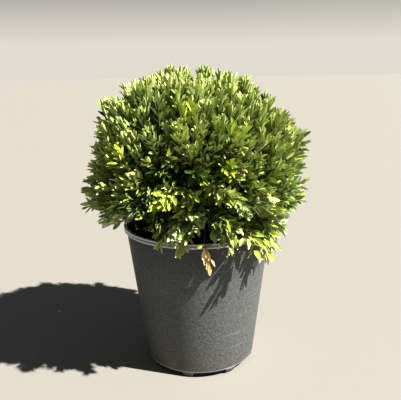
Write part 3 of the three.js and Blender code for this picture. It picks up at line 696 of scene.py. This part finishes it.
def young_relief(point, forward):
    """How far young bark stands out."""
    return YOUNG_RELIEF * bark_relief(point, forward)


line = smooth_line(LOW_SHOOT_PATH, LOW_SHOOT_RINGS)
radii = np.linspace(*LOW_SHOOT_RADII, LOW_SHOOT_RINGS)
points, faces = tube(line, radii, LOW_SHOOT_SIDES, relief=young_relief)
low_shoot = new_piece("low_shoot_bark", points, faces, [box_bark], crease=60)
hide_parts("low_front_shoot")


# Each bough carries a mass of its own. From the bough's tip a stem runs on, and twigs branch from it to
# sprays of young shoots, all growing up to the light. The shears have cut the sprays to one round outline.
HUB_SHARE = 0.64
HUB_STEM_LEAD = 0.008
HUB_STEM_TIP = 0.0018
SPRAY_LENGTH = 0.080
SPRAY_SPREAD = 0.070
SPRAY_FAN = 2.2
SPRAY_TURN = 9
SPRAY_TILT = 7
FORK_ELBOW = 0.02
SHOOT_BEND = 0.045
SHOOT_WANDER = 0.1
SPRAY_REACH = (0.9, 1)
SHOOT_REACH = (0.89, 1)
STEM_SPAN = (0.2, 1)
TIP_ROOM = 0.022
SPRAY_RADII = (0.0019, 0.0013)
SHOOT_RADII = (0.0010, 0.0006)
HANG_ROOM = 2
GOLDEN_ANGLE = math.pi * (3 - math.sqrt(5))
UP = Vector((0, 0, 1))

# The outer sprays, and the smaller ones behind them, which close the gaps with dark leaves: how many places
# they have over the whole ball, by what share of a step these are offset, their depth and their shoots.
SPRAY_LAYERS = [(430, 0.5, 1, 5), (215, 0.8, 0.86, 2)]

# Some sprays have grown past the cut, and twice as many low on the front.
UNCLIPPED_SHARE = 0.18
UNCLIPPED_REACH = (1.01, 1.045)
LOW_FRONT = (-115, 0)

# How many degrees the shoots rise, by the elevation at which their tips lie.
SHOOT_RISE = [(-90, -80), (-36, -46), (-26, -24), (-14, 2), (0, 24), (15, 44), (35, 64), (60, 78), (90, 90)]

# By how much less the shoots in the middle of the front rise, by azimuth, and the share of that by elevation.
FRONT_LEAN = [(-180, 0), (-128, 0), (-108, 26), (-66, 26), (-40, 0), (180, 0)]
LEAN_SHARE = [(-90, 0), (-20, 0), (-4, 1), (14, 1), (34, 0), (90, 0)]

# How low the skirt hangs, by azimuth. At the front left it leaves the pot's rim bare.
SKIRT_EDGE = [
    (-180, -20), (-150, -17), (-138, -15), (-125, -13), (-113, -18), (-105, -22), (-98, -28),
    (-92, -27), (-88, -20), (-80, -20), (-75, -27), (-70, -27), (-64, -21), (-56, -28),
    (-45, -32), (-30, -32), (0, -27), (90, -30), (180, -20),
]

# Hollows between the sprays: azimuth, elevation and radius in degrees. In their depths the leaves take the
# old, dark tints as painted shade, except low down.
HOLLOWS = [
    (-91, 17, 8), (-102, 9, 6), (-95, 6, 6), (-76, 4, 5), (-74, 17, 5), (-102, -3, 5),
    (-126, -9, 6), (-83, -10, 8), (-85, -20, 5), (-140, 8, 5), (-55, -16, 9),
]
HOLLOW_SINK = 0.34
SHADE_DEPTH = 0.6
SHADE_ABOVE = -5

# How far the leaves turn their upper faces to the light, by elevation, and how far to their shoot.
LIGHT_PULL = [(-90, 0.8), (-10, 0.8), (3, 0.5), (12, 1.5), (30, 1.3), (50, 0.45), (90, 0.4)]
LIGHT_FROM_OUT = 0.8
SHOOT_PULL = 0.6

# Box leaves are 23 to 28 mm long, in opposite pairs. Each pair is given by how far it stands back from the
# shoot's tip and its angle to the shoot in degrees. High on the crown they stand closer to the shoot.
LEAF_LENGTH = 0.0265
LEAF_WIDTH = 0.0102
LEAF_THICKNESS = 0.0003
LEAF_FOOT = 0.0005
LEAF_BROADEST = 1.45
LEAF_BLUNTNESS = 0.7
LEAF_VARIATION = (0.88, 1.12)
YOUNGEST_SIZE = 0.8
FOLDS = (0.4, 0.8)
BENDS = (-0.03, 0.15)
FACE_TURN = 0.85
PAIR_TURN = 0.15
SPLAY_VARIATION = (-9, 13)
UPRIGHT_ABOVE = 24
PAIRS = [(0, 8), (0.007, 17), (0.015, 24), (0.024, 30), (0.034, 36)]
UPRIGHT_PAIRS = [(0, 6), (0.007, 13), (0.015, 18), (0.024, 23), (0.034, 28)]
LOOSE_PAIRS = [(0, 12), (0.008, 26), (0.018, 38), (0.029, 47), (0.041, 54), (0.054, 58)]

# Long shoots that the shears have left. Most weep over the rim at the front, and one reaches out low on the
# left. Each is its azimuth, tip as radius and height, degrees that it rises, elbow and zone of colour.
LONG_SHOOTS = [
    (-44, (0.170, 0.259), -64, (0.152, 0.314), "fresh"),
    (-57, (0.185, 0.275), -42, (0.150, 0.325), "green"),
    (-36, (0.168, 0.276), -52, (0.148, 0.318), "fresh"),
    (-24, (0.166, 0.290), -34, (0.146, 0.322), "pale"),
    (184, (0.212, 0.326), -18, (0.150, 0.345), "green"),
    (-71, (0.166, 0.288), -50, (0.138, 0.320), "green"),
    (-101, (0.163, 0.288), -48, (0.134, 0.320), "light"),
    (-112, (0.164, 0.296), -42, (0.136, 0.324), "light"),
]

# A long shoot and the one on each side of it: turn in degrees and share of the length.
LONG_SHOOT_FORKS = [(0, 1), (-30, 0.62), (28, 0.72)]
LONG_STEM_RADII = (0.0018, 0.0013)
LONG_SHOOT_RADII = (0.0011, 0.0006)
FORK_RISE = 0.4
FORK_ASIDE = 0.02
FORK_ARCH = 0.003
FORK_LIGHT = 20

# Patches of the crown, by azimuth and elevation, with the zone of colour that a share of their sprays takes.
# The pale patches low on the right and front are painted sheen of sunlit leaves, the light patch in the
# middle is painted highlights of brighter leaves, and the deep patch low on the left is painted shade.
ZONE_PATCHES = [
    (-72, 4, -90, 0, 0.8, "pale"),
    (-150, -72, -90, -9, 0.4, "pale"),
    (-118, -40, 6, 38, 0.6, "light"),
    (-150, -99, -10, 3, 0.75, "deep"),
]
FRESH_SHARE = 0.055
DEEP_FROM = 0.84

# The tints of a zone's leaves. A row holds for the pairs before the one that it starts with, and gives a
# tint, its share of them, and the tint of the rest.
ZONE_TINTS = {
    "fresh": [(3, "fresh", 0.8, "summer"), (9, "summer", 1, "summer")],
    "pale": [(9, "pale", 0.8, "summer")],
    "light": [(9, "light", 0.75, "old")],
    "deep": [(2, "summer", 0.5, "old"), (9, "old", 1, "old")],
    "green": [(3, "light", 0.6, "summer"), (9, "summer", 0.7, "old")],
}

# The room that leaves and twigs keep over, beside and inside the rim and over the mix.
ROOM_OVER_RIM = 0.0015
ROOM_BESIDE_RIM = 0.0012
RADIUS_INSIDE_RIM = 0.139
ROOM_OVER_MIX = 0.004

for mass in masses:
    others = [other for other in masses if other is not mass]
    mass["walls"] = [(mass["outward"] - other["outward"]).normalized() for other in others]


def is_own(mass, outward):
    """Whether a way out lies in a mass's own cell."""
    return all(wall.dot(outward) > 0 for wall in mass["walls"])


def own_directions(mass, count, offset):
    """Directions spread evenly over the ball, of which a mass keeps its own above the skirt's edge."""
    kept = []
    for i in range(count):
        level = 1 - 2 * (i + offset) / count
        flat = math.sqrt(1 - level * level)
        turn = GOLDEN_ANGLE * i
        outward = Vector((flat * math.cos(turn), flat * math.sin(turn), level))
        azimuth, elevation = angles_of(outward)
        if is_own(mass, outward) and elevation > read_at(SKIRT_EDGE, azimuth):
            kept.append(outward)
    return kept


def are_clear_of_pot(*points):
    """Whether all the points are out of the pot's wall and above the mix."""
    for point in points:
        radius = math.hypot(point.x, point.y)
        is_outside = point.z > POT_HEIGHT + ROOM_OVER_RIM or radius > RIM_RADIUS + ROOM_BESIDE_RIM
        is_over_mix = radius < RADIUS_INSIDE_RIM and point.z > SOIL_TOP + ROOM_OVER_MIX
        if not (is_outside or is_over_mix):
            return False
    return True


def sideways(unit, chance):
    """A random unit vector square to another."""
    start = Vector((chance.gauss(0, 1), chance.gauss(0, 1), chance.gauss(0, 1)))
    return (start - unit * start.dot(unit)).normalized()


def hollow_depth(outward):
    """From 0 to 1, how deep in a hollow a direction lies. A hollow is deepest over its inner half."""
    depth = 0
    for azimuth, elevation, radius in HOLLOWS:
        angle = math.degrees(outward.angle(direction(azimuth, elevation)))
        depth = max(depth, 1 - angle / radius)
    return max(0, min(1, 2 * depth))


def shoot_heading(outward, turn, rise):
    """The way a shoot points, from where its tip lies."""
    azimuth, elevation = angles_of(outward)
    lean = read_at(FRONT_LEAN, azimuth) * read_at(LEAN_SHARE, elevation)
    return direction(azimuth + turn, read_at(SHOOT_RISE, elevation) + rise - lean)


def leaf_tint(zone, pair, chance):
    """The tint of a leaf, by its spray's zone and its place on the shoot."""
    draw = chance.random()
    for below, tint, share, rest in ZONE_TINTS[zone]:
        if pair < below:
            return tint if draw < share else rest


def spray_zone(outward, chance):
    """The zone of a spray: fresh for a few anywhere, then that of its patch, and green or deep elsewhere."""
    azimuth, elevation = angles_of(outward)
    draw = chance.random()
    if draw < FRESH_SHARE:
        return "fresh"
    for start, end, low, high, share, zone in ZONE_PATCHES:
        if start < azimuth < end and low < elevation < high and draw < share:
            return zone
    return "deep" if draw > DEEP_FROM else "green"


def add_leaf(leaves, root, along, upper, size, tint, chance):
    """Notes a leaf if it is clear of the pot. Upper is the way that its upper face looks."""
    length = LEAF_LENGTH * size
    if not are_clear_of_pot(root, root + along * (0.5 * length), root + along * length):
        return
    face = (upper - along * upper.dot(along)).normalized()
    face.rotate(Matrix.Rotation(chance.uniform(-FACE_TURN, FACE_TURN), 3, along))
    leaves.append({
        "root": root,
        "along": along,
        "face": face,
        "length": length,
        "width": LEAF_WIDTH * size * chance.uniform(*LEAF_VARIATION),
        "fold": chance.uniform(*FOLDS),
        "bend": chance.uniform(*BENDS),
        "tint": tint,
    })


def dress_shoot(leaves, tip, heading, outward, zone, chance, pairs):
    """Opposite pairs of leaves up a shoot, each pair turned a quarter from the one below."""
    side = sideways(heading, chance)
    light = (outward * LIGHT_FROM_OUT + UP).normalized()
    pull = read_at(LIGHT_PULL, angles_of(outward)[1])
    for pair, (back, splay) in enumerate(pairs):
        for opposite in (0, math.pi):
            turn = pair * math.pi / 2 + opposite + chance.uniform(-PAIR_TURN, PAIR_TURN)
            out = side.copy()
            out.rotate(Matrix.Rotation(turn, 3, heading))
            angle = math.radians(splay + chance.uniform(*SPLAY_VARIATION))
            along = heading * math.cos(angle) + out * math.sin(angle)
            root = tip - heading * back + out * LEAF_FOOT
            upper = (heading * math.sin(angle) - out * math.cos(angle)) * SHOOT_PULL + light * pull
            size = chance.uniform(*LEAF_VARIATION) * (YOUNGEST_SIZE if pair == 0 else 1)
            add_leaf(leaves, root, along, upper, size, leaf_tint(zone, pair, chance), chance)


def twig_part(knots, radii, sides, rings):
    """A thin tapering twig."""
    return tube(smooth_line(knots, rings), np.linspace(*radii, rings), sides)


def grow_spray(mass, outward, depth, shoots, leaves, twigs, chance):
    """A spray: one twig out from the stem, which forks into shoots that fan out to the outline."""
    azimuth, elevation = angles_of(outward)
    hollow = hollow_depth(outward)
    turn = chance.uniform(-SPRAY_TURN, SPRAY_TURN)
    heading = shoot_heading(outward, turn, chance.uniform(-SPRAY_TILT, SPRAY_TILT))
    share = depth * chance.uniform(*SPRAY_REACH) * (1 - HOLLOW_SINK * hollow)
    is_low = elevation < 0 and LOW_FRONT[0] < azimuth < LOW_FRONT[1]
    if depth == 1 and chance.random() < (2 if is_low else 1) * UNCLIPPED_SHARE:
        share = chance.uniform(*UNCLIPPED_REACH)
    tip = CROWN_CENTRE + outward * (reach_at(outward) * share) - heading * TIP_ROOM
    fork = tip - heading * SPRAY_LENGTH
    stem = mass["foot"].lerp(mass["hub"], chance.uniform(*STEM_SPAN))
    elbow = fork - heading * FORK_ELBOW
    if not are_clear_of_pot(tip, fork, elbow):
        return
    twigs.append(twig_part([stem, stem.lerp(elbow, 0.6), elbow, fork], SPRAY_RADII, 5, 7))
    zone = spray_zone(outward, chance) if depth == 1 else "deep"
    # Deep in a hollow the spray takes the dark tints: painted shade.
    if hollow > SHADE_DEPTH and elevation > SHADE_ABOVE:
        zone = "deep"
    for shoot in range(shoots):
        aside = sideways(outward, chance) * (SPRAY_SPREAD * math.sqrt(chance.random()))
        own_outward = (outward + aside).normalized()
        own_share = share * (1 if shoot == 0 else chance.uniform(*SHOOT_REACH))
        own_reach = reach_at(own_outward) * own_share
        own_heading = (heading + aside * SPRAY_FAN + sideways(heading, chance) * SHOOT_WANDER).normalized()
        own_tip = CROWN_CENTRE + own_outward * own_reach - own_heading * TIP_ROOM
        bend = own_tip - own_heading * SHOOT_BEND
        azimuth, elevation = angles_of(own_outward)
        hangs_below = elevation < read_at(SKIRT_EDGE, azimuth) - HANG_ROOM
        if hangs_below or not are_clear_of_pot(own_tip, bend):
            continue
        twigs.append(twig_part([fork, fork.lerp(bend, 0.6), bend, own_tip], SHOOT_RADII, 4, 6))
        pairs = UPRIGHT_PAIRS if elevation > UPRIGHT_ABOVE else PAIRS
        dress_shoot(leaves, own_tip, own_heading, own_outward, zone, chance, pairs)


def grow_long_shoot(mass, shoot, leaves, twigs, chance):
    """A long shoot with wide pairs of leaves, and a shorter shoot on each side of it."""
    azimuth, tip_place, rise, elbow_place, zone = shoot
    tip = around(azimuth, *tip_place)
    elbow = around(azimuth, *elbow_place)
    twigs.append(twig_part([mass["hub"], mass["hub"].lerp(elbow, 0.5), elbow], LONG_STEM_RADII, 5, 6))
    for turn, share in LONG_SHOOT_FORKS:
        heading = direction(azimuth + turn, rise + FORK_RISE * abs(turn))
        own_tip = elbow.lerp(tip, share) + (heading - direction(azimuth, rise)) * FORK_ASIDE
        bend = elbow.lerp(own_tip, 0.5) + UP * FORK_ARCH
        twigs.append(twig_part([elbow, bend, own_tip], LONG_SHOOT_RADII, 4, 7))
        dress_shoot(leaves, own_tip, heading, direction(azimuth, FORK_LIGHT), zone, chance, LOOSE_PAIRS)


LEAF_STATIONS = [0.26, 0.6, 0.9]


def leaf_template():
    """A leaf's corners as share of length, side and whether under, and its faces, upper ones first."""
    corners = [(0, 0, 0)]
    for station in LEAF_STATIONS:
        corners += [(station, -1, 0), (station, 0, 0), (station, 1, 0)]
    corners.append((1, 0, 0))
    corners += [(station, 0, 1) for station in LEAF_STATIONS]
    tip = 1 + 3 * len(LEAF_STATIONS)
    upper = [(0, 2, 1), (0, 3, 2)]
    under = [(0, 1, tip + 1), (0, tip + 1, 3)]
    for i in range(len(LEAF_STATIONS) - 1):
        left = 1 + 3 * i
        rib = tip + 1 + i
        upper += [(left, left + 1, left + 4, left + 3), (left + 1, left + 2, left + 5, left + 4)]
        under += [(left, left + 3, rib + 1, rib), (rib, rib + 1, left + 5, left + 2)]
    last = tip - 3
    upper += [(last, last + 1, tip), (last + 1, last + 2, tip)]
    under += [(last, tip, len(corners) - 1), (len(corners) - 1, tip, last + 2)]
    return np.array(corners, float), upper, under


def leaf_piece(name, leaves, finishes, under_of):
    """Leaves in one mesh. Their outline is widest beyond the middle, with a round tip."""
    corners, upper, under = leaf_template()
    along_share = corners[:, 0][None, :, None]
    side = corners[:, 1][None, :, None]
    below = corners[:, 2][None, :, None]
    outline = np.sin(np.pi * along_share**LEAF_BROADEST).clip(0) ** LEAF_BLUNTNESS

    def column(key):
        return np.array([leaf[key] for leaf in leaves], float).reshape(len(leaves), 1, -1)

    along = column("along")
    face = column("face")
    across = np.cross(along, face)
    length = column("length")
    half = column("width") / 2 * outline * side
    fold = column("fold")
    lift = np.abs(half) * np.sin(fold) - column("bend") * length * along_share**2
    lift = lift - below * LEAF_THICKNESS
    points = column("root") + along * length * along_share + across * half * np.cos(fold) + face * lift
    faces = []
    tints = []
    names = list(finishes)
    for number, leaf in enumerate(leaves):
        start = number * len(corners)
        faces += [tuple(start + corner for corner in face_corners) for face_corners in upper + under]
        tints += [names.index(leaf["tint"])] * len(upper)
        tints += [names.index(under_of[leaf["tint"]])] * len(under)
    piece = new_piece(name, points.reshape(-1, 3), faces, list(finishes.values()), crease=50)
    piece.data.polygons.foreach_set("material_index", tints)
    return piece


# A box leaf is leathery, with a thin film of wax on its upper face that catches the light in small glints.
# Its under side is paler and dull. Each tint is a plain colour, dealt out by spray, and its row gives the
# colour, the roughness and the share of wax.
LEAF_TINTS = {
    "old": ("#485c27", 0.5, 0.1),
    "summer": ("#81903e", 0.45, 0.5),
    "light": ("#b2b878", 0.42, 0.8),
    "fresh": ("#a9b74a", 0.45, 0.6),
    "pale": ("#acb886", 0.5, 0.4),
    "under": ("#a4b16b", 0.52, 0),
    "pale_under": ("#bfcb99", 0.5, 0),
    "fresh_under": ("#b2bf5a", 0.5, 0),
}
WAX_ROUGHNESS = 0.3
TWIG_GREEN = "#5d6030"
TWIG_TAN = "#7f7048"
RIPENING_SIZE = 0.02
UNDER_OF = {"old": "under", "summer": "under", "light": "under", "fresh": "fresh_under", "pale": "pale_under"}
leaf_finishes = {}
for tint, (colour, roughness, wax) in LEAF_TINTS.items():
    leaf_finish, add = new_material(f"box_leaf_{tint}")
    shader = add("BsdfPrincipled", {
        "Base Color": linear(colour),
        "Roughness": roughness,
        "IOR": 1.45,
        "Coat Weight": wax,
        "Coat Roughness": WAX_ROUGHNESS,
    })
    add("OutputMaterial", {"Surface": shader})
    leaf_finishes[tint] = leaf_finish

# Young twigs are smooth and green, and ripen to tan in patches.
young_bark, add = new_material("young_box_twig")
place = add("TexCoord", {}).outputs["Object"]
ripening = add("TexNoise", {"Vector": place, "Scale": 1 / RIPENING_SIZE, "Detail": 2})
ripe = add("Mix", {"Factor": ripening, MIX_A: linear(TWIG_GREEN), MIX_B: linear(TWIG_TAN)}, data_type="RGBA")
shader = add("BsdfPrincipled", {"Base Color": ripe, "Roughness": 0.65, "IOR": BARK_IOR})
add("OutputMaterial", {"Surface": shader})

for tier_name in TIERS:
    tier_leaves = []
    tier_twigs = []
    tier_masses = [mass for mass in masses if mass["tier"] == tier_name]
    for mass in tier_masses:
        chance = Random(mass["label"])
        mass["foot"] = along_axis(mass["outward"], MASS_FOOT_SHARE)
        mass["hub"] = along_axis(mass["outward"], HUB_SHARE)
        leaving = (mass["path"][-1] - mass["path"][-2]).normalized()
        stem = [mass["foot"] + leaving * CLEARANCE, mass["foot"] + leaving * HUB_STEM_LEAD, mass["hub"]]
        tier_twigs.append(twig_part(stem, (mass["radii"][1], HUB_STEM_TIP), 8, 12))
        for places, offset, depth, shoots in SPRAY_LAYERS:
            for outward in own_directions(mass, places, offset):
                grow_spray(mass, outward, depth, shoots, tier_leaves, tier_twigs, chance)
        for shoot in LONG_SHOOTS:
            if is_own(mass, around(shoot[0], *shoot[1]) - CROWN_CENTRE):
                grow_long_shoot(mass, shoot, tier_leaves, tier_twigs, chance)
    nodes = [mass["label"] + "_leaves" for mass in tier_masses]
    leaves_piece = leaf_piece(f"{tier_name}_box_leaves", tier_leaves, leaf_finishes, UNDER_OF)
    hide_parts(*nodes)
    twigs_piece = new_piece(f"{tier_name}_twigs", *gathered(tier_twigs), [young_bark], crease=60)
    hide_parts(*nodes)


# The withered sprig is dead box wood. Its brittle stalk hangs from the low shoot in front of the pot, and
# the few leaves that still cling to it have dried tan and curled.
SPRIG_STALK = [
    around(LOW_SHOOT_AZIMUTH, 0.1534, POT_HEIGHT - 0.001),
    around(LOW_SHOOT_AZIMUTH + 0.4, 0.156, POT_HEIGHT - 0.007),
    around(LOW_SHOOT_AZIMUTH + 1.0, 0.1565, POT_HEIGHT - 0.015),
    around(LOW_SHOOT_AZIMUTH + 1.8, 0.156, POT_HEIGHT - 0.026),
]
STALK_RADII = (0.0015, 0.0009)
STALK_RINGS = 40

# Each dry leaf: its share down the stalk, lean in degrees, size, and how far its face turns aside.
DRY_LEAVES = [
    (1, -4, 1.02, 0.3),
    (0.92, 8, 1.0, -0.35),
    (0.7, 21, 0.95, 0.5),
    (0.06, -6, 0.9, -0.5),
    (0.12, 12, 0.85, 0.4),
    (0.5, -8, 0.8, 0.5),
]
# The dark brown of the dry leaves' under sides is partly their own colour and partly painted shade inside the
# curl; the stalk takes the same brown.
DRY_TINTS = {"tan": "#e2c383", "cream": "#f0ddb2", "dry_under": "#85653a"}
DRY_OUT = 0.12
DRY_WIDTH = 1.2
DRY_FOLD = 0.7
DRY_CURL = -0.2

# Dry leaves are brittle and have lost their wax, so they are dull all over.
dry_finishes = {}
for tint, colour in DRY_TINTS.items():
    dry_finish, add = new_material(f"dry_box_leaf_{tint}")
    shader = add("BsdfPrincipled", {"Base Color": linear(colour), "Roughness": 0.7, "IOR": 1.4})
    add("OutputMaterial", {"Surface": shader})
    dry_finishes[tint] = dry_finish
outward = direction(LOW_SHOOT_AZIMUTH, 0)
chance = Random(7)
dry_leaves = []
stalk_line = smooth_line(SPRIG_STALK, STALK_RINGS)
for at, lean, size, turned in DRY_LEAVES:
    along = -UP
    along.rotate(Matrix.Rotation(math.radians(lean), 3, outward))
    along = (along + outward * DRY_OUT).normalized()
    root = Vector(stalk_line[round(at * (STALK_RINGS - 1))])
    upper = outward + UP.cross(outward) * turned
    add_leaf(dry_leaves, root, along, upper, size, "tan" if turned > 0 else "cream", chance)
    dry_leaves[-1]["width"] *= DRY_WIDTH
    dry_leaves[-1]["fold"] = DRY_FOLD
    dry_leaves[-1]["bend"] = DRY_CURL
sprig = leaf_piece("withered_leaves", dry_leaves, dry_finishes, {"tan": "dry_under", "cream": "dry_under"})
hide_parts("withered_sprig")
points, faces = tube(stalk_line, np.linspace(*STALK_RADII, STALK_RINGS), 8)
stalk = new_piece("withered_stalk", points, faces, [dry_finishes["dry_under"]], crease=60)
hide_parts("withered_sprig")


# The low shoot's last living leaves are a fresh pair, small and broad. They spread to both sides where the
# shoot bends over the rim above the sprig.
FRESH_PLACE = around(LOW_SHOOT_AZIMUTH, 0.1545, POT_HEIGHT + 0.0022)
FRESH_LEANS = (-76, 70)
FRESH_OUT = 0.2
FRESH_FACING = 1.4
FRESH_SIZE = 0.62
FRESH_WIDTH = 1.4
fresh_pair = []
for lean in FRESH_LEANS:
    along = UP.copy()
    along.rotate(Matrix.Rotation(math.radians(180 + lean), 3, outward))
    along = (along + outward * FRESH_OUT).normalized()
    add_leaf(fresh_pair, FRESH_PLACE, along, outward * FRESH_FACING + UP, FRESH_SIZE, "fresh", chance)
    fresh_pair[-1]["width"] *= FRESH_WIDTH
pair = leaf_piece("low_shoot_leaves", fresh_pair, leaf_finishes, UNDER_OF)


# The studio: a plain pale floor, one softened key light on the right, where the sun stands in the photo, and
# an even pale sky for fill.
FLOOR_SIZE = 60
KEY_AZIMUTH = -25
KEY_ELEVATION = 49
KEY_SOFTNESS = math.radians(1)
KEY_POWER = 13.8
KEY_WHITE = "#fffdf7"
FLOOR_GREY = "#77746e"
HORIZON = "#f6f0e4"
OPEN_SHADE = "#dce5ec"

# The floor is rolled with matt paint, so it takes shadows evenly.
floor_finish, add = new_material("painted_studio_floor")
shader = add("BsdfPrincipled", {"Base Color": linear(FLOOR_GREY), "Roughness": 0.8})
add("OutputMaterial", {"Surface": shader})
half = FLOOR_SIZE / 2
floor_corners = [(-half, -half, 0), (half, -half, 0), (half, half, 0), (-half, half, 0)]
floor_mesh = bpy.data.meshes.new("floor")
floor_mesh.from_pydata(floor_corners, [], [(0, 1, 2, 3)])
floor_mesh.materials.append(floor_finish)
floor = bpy.data.objects.new("floor", floor_mesh)
bpy.context.scene.collection.objects.link(floor)

key = bpy.data.objects.new("key_light", bpy.data.lights.new("key_light", "SUN"))
key.data.angle = KEY_SOFTNESS
key.data.energy = KEY_POWER
key.data.color = linear(KEY_WHITE)[:3]
key.rotation_euler = direction(KEY_AZIMUTH, KEY_ELEVATION).to_track_quat("Z", "Y").to_euler()
bpy.context.scene.collection.objects.link(key)

# At the horizon the backdrop is about as bright as the floor in front of the pot. Above, it fades to the
# cool, even light of open shade.
sky = bpy.data.worlds.new("studio")
sky.use_nodes = True
sky.node_tree.nodes.clear()
add = partial(add_node, sky.node_tree)
way_up = add("TexCoord", {}).outputs["Generated"]
level = add("SeparateXYZ", {"Vector": way_up}).outputs["Z"]
fading = add("MapRange", {"Value": level, "From Min": 0.04, "From Max": 0.2, "To Min": 0.706, "To Max": 0.22})
cooling = add("MapRange", {"Value": level, "From Min": 0.08, "From Max": 0.2})
shade = add("Mix", {"Factor": cooling, MIX_A: linear(HORIZON), MIX_B: linear(OPEN_SHADE)}, data_type="RGBA")
backdrop = add("Background", {"Color": shade, "Strength": fading})
add("OutputWorld", {"Surface": backdrop})
bpy.context.scene.world = sky
bpy.context.scene.view_settings.view_transform = "Standard"
bpy.context.scene.view_settings.look = "Medium High Contrast"
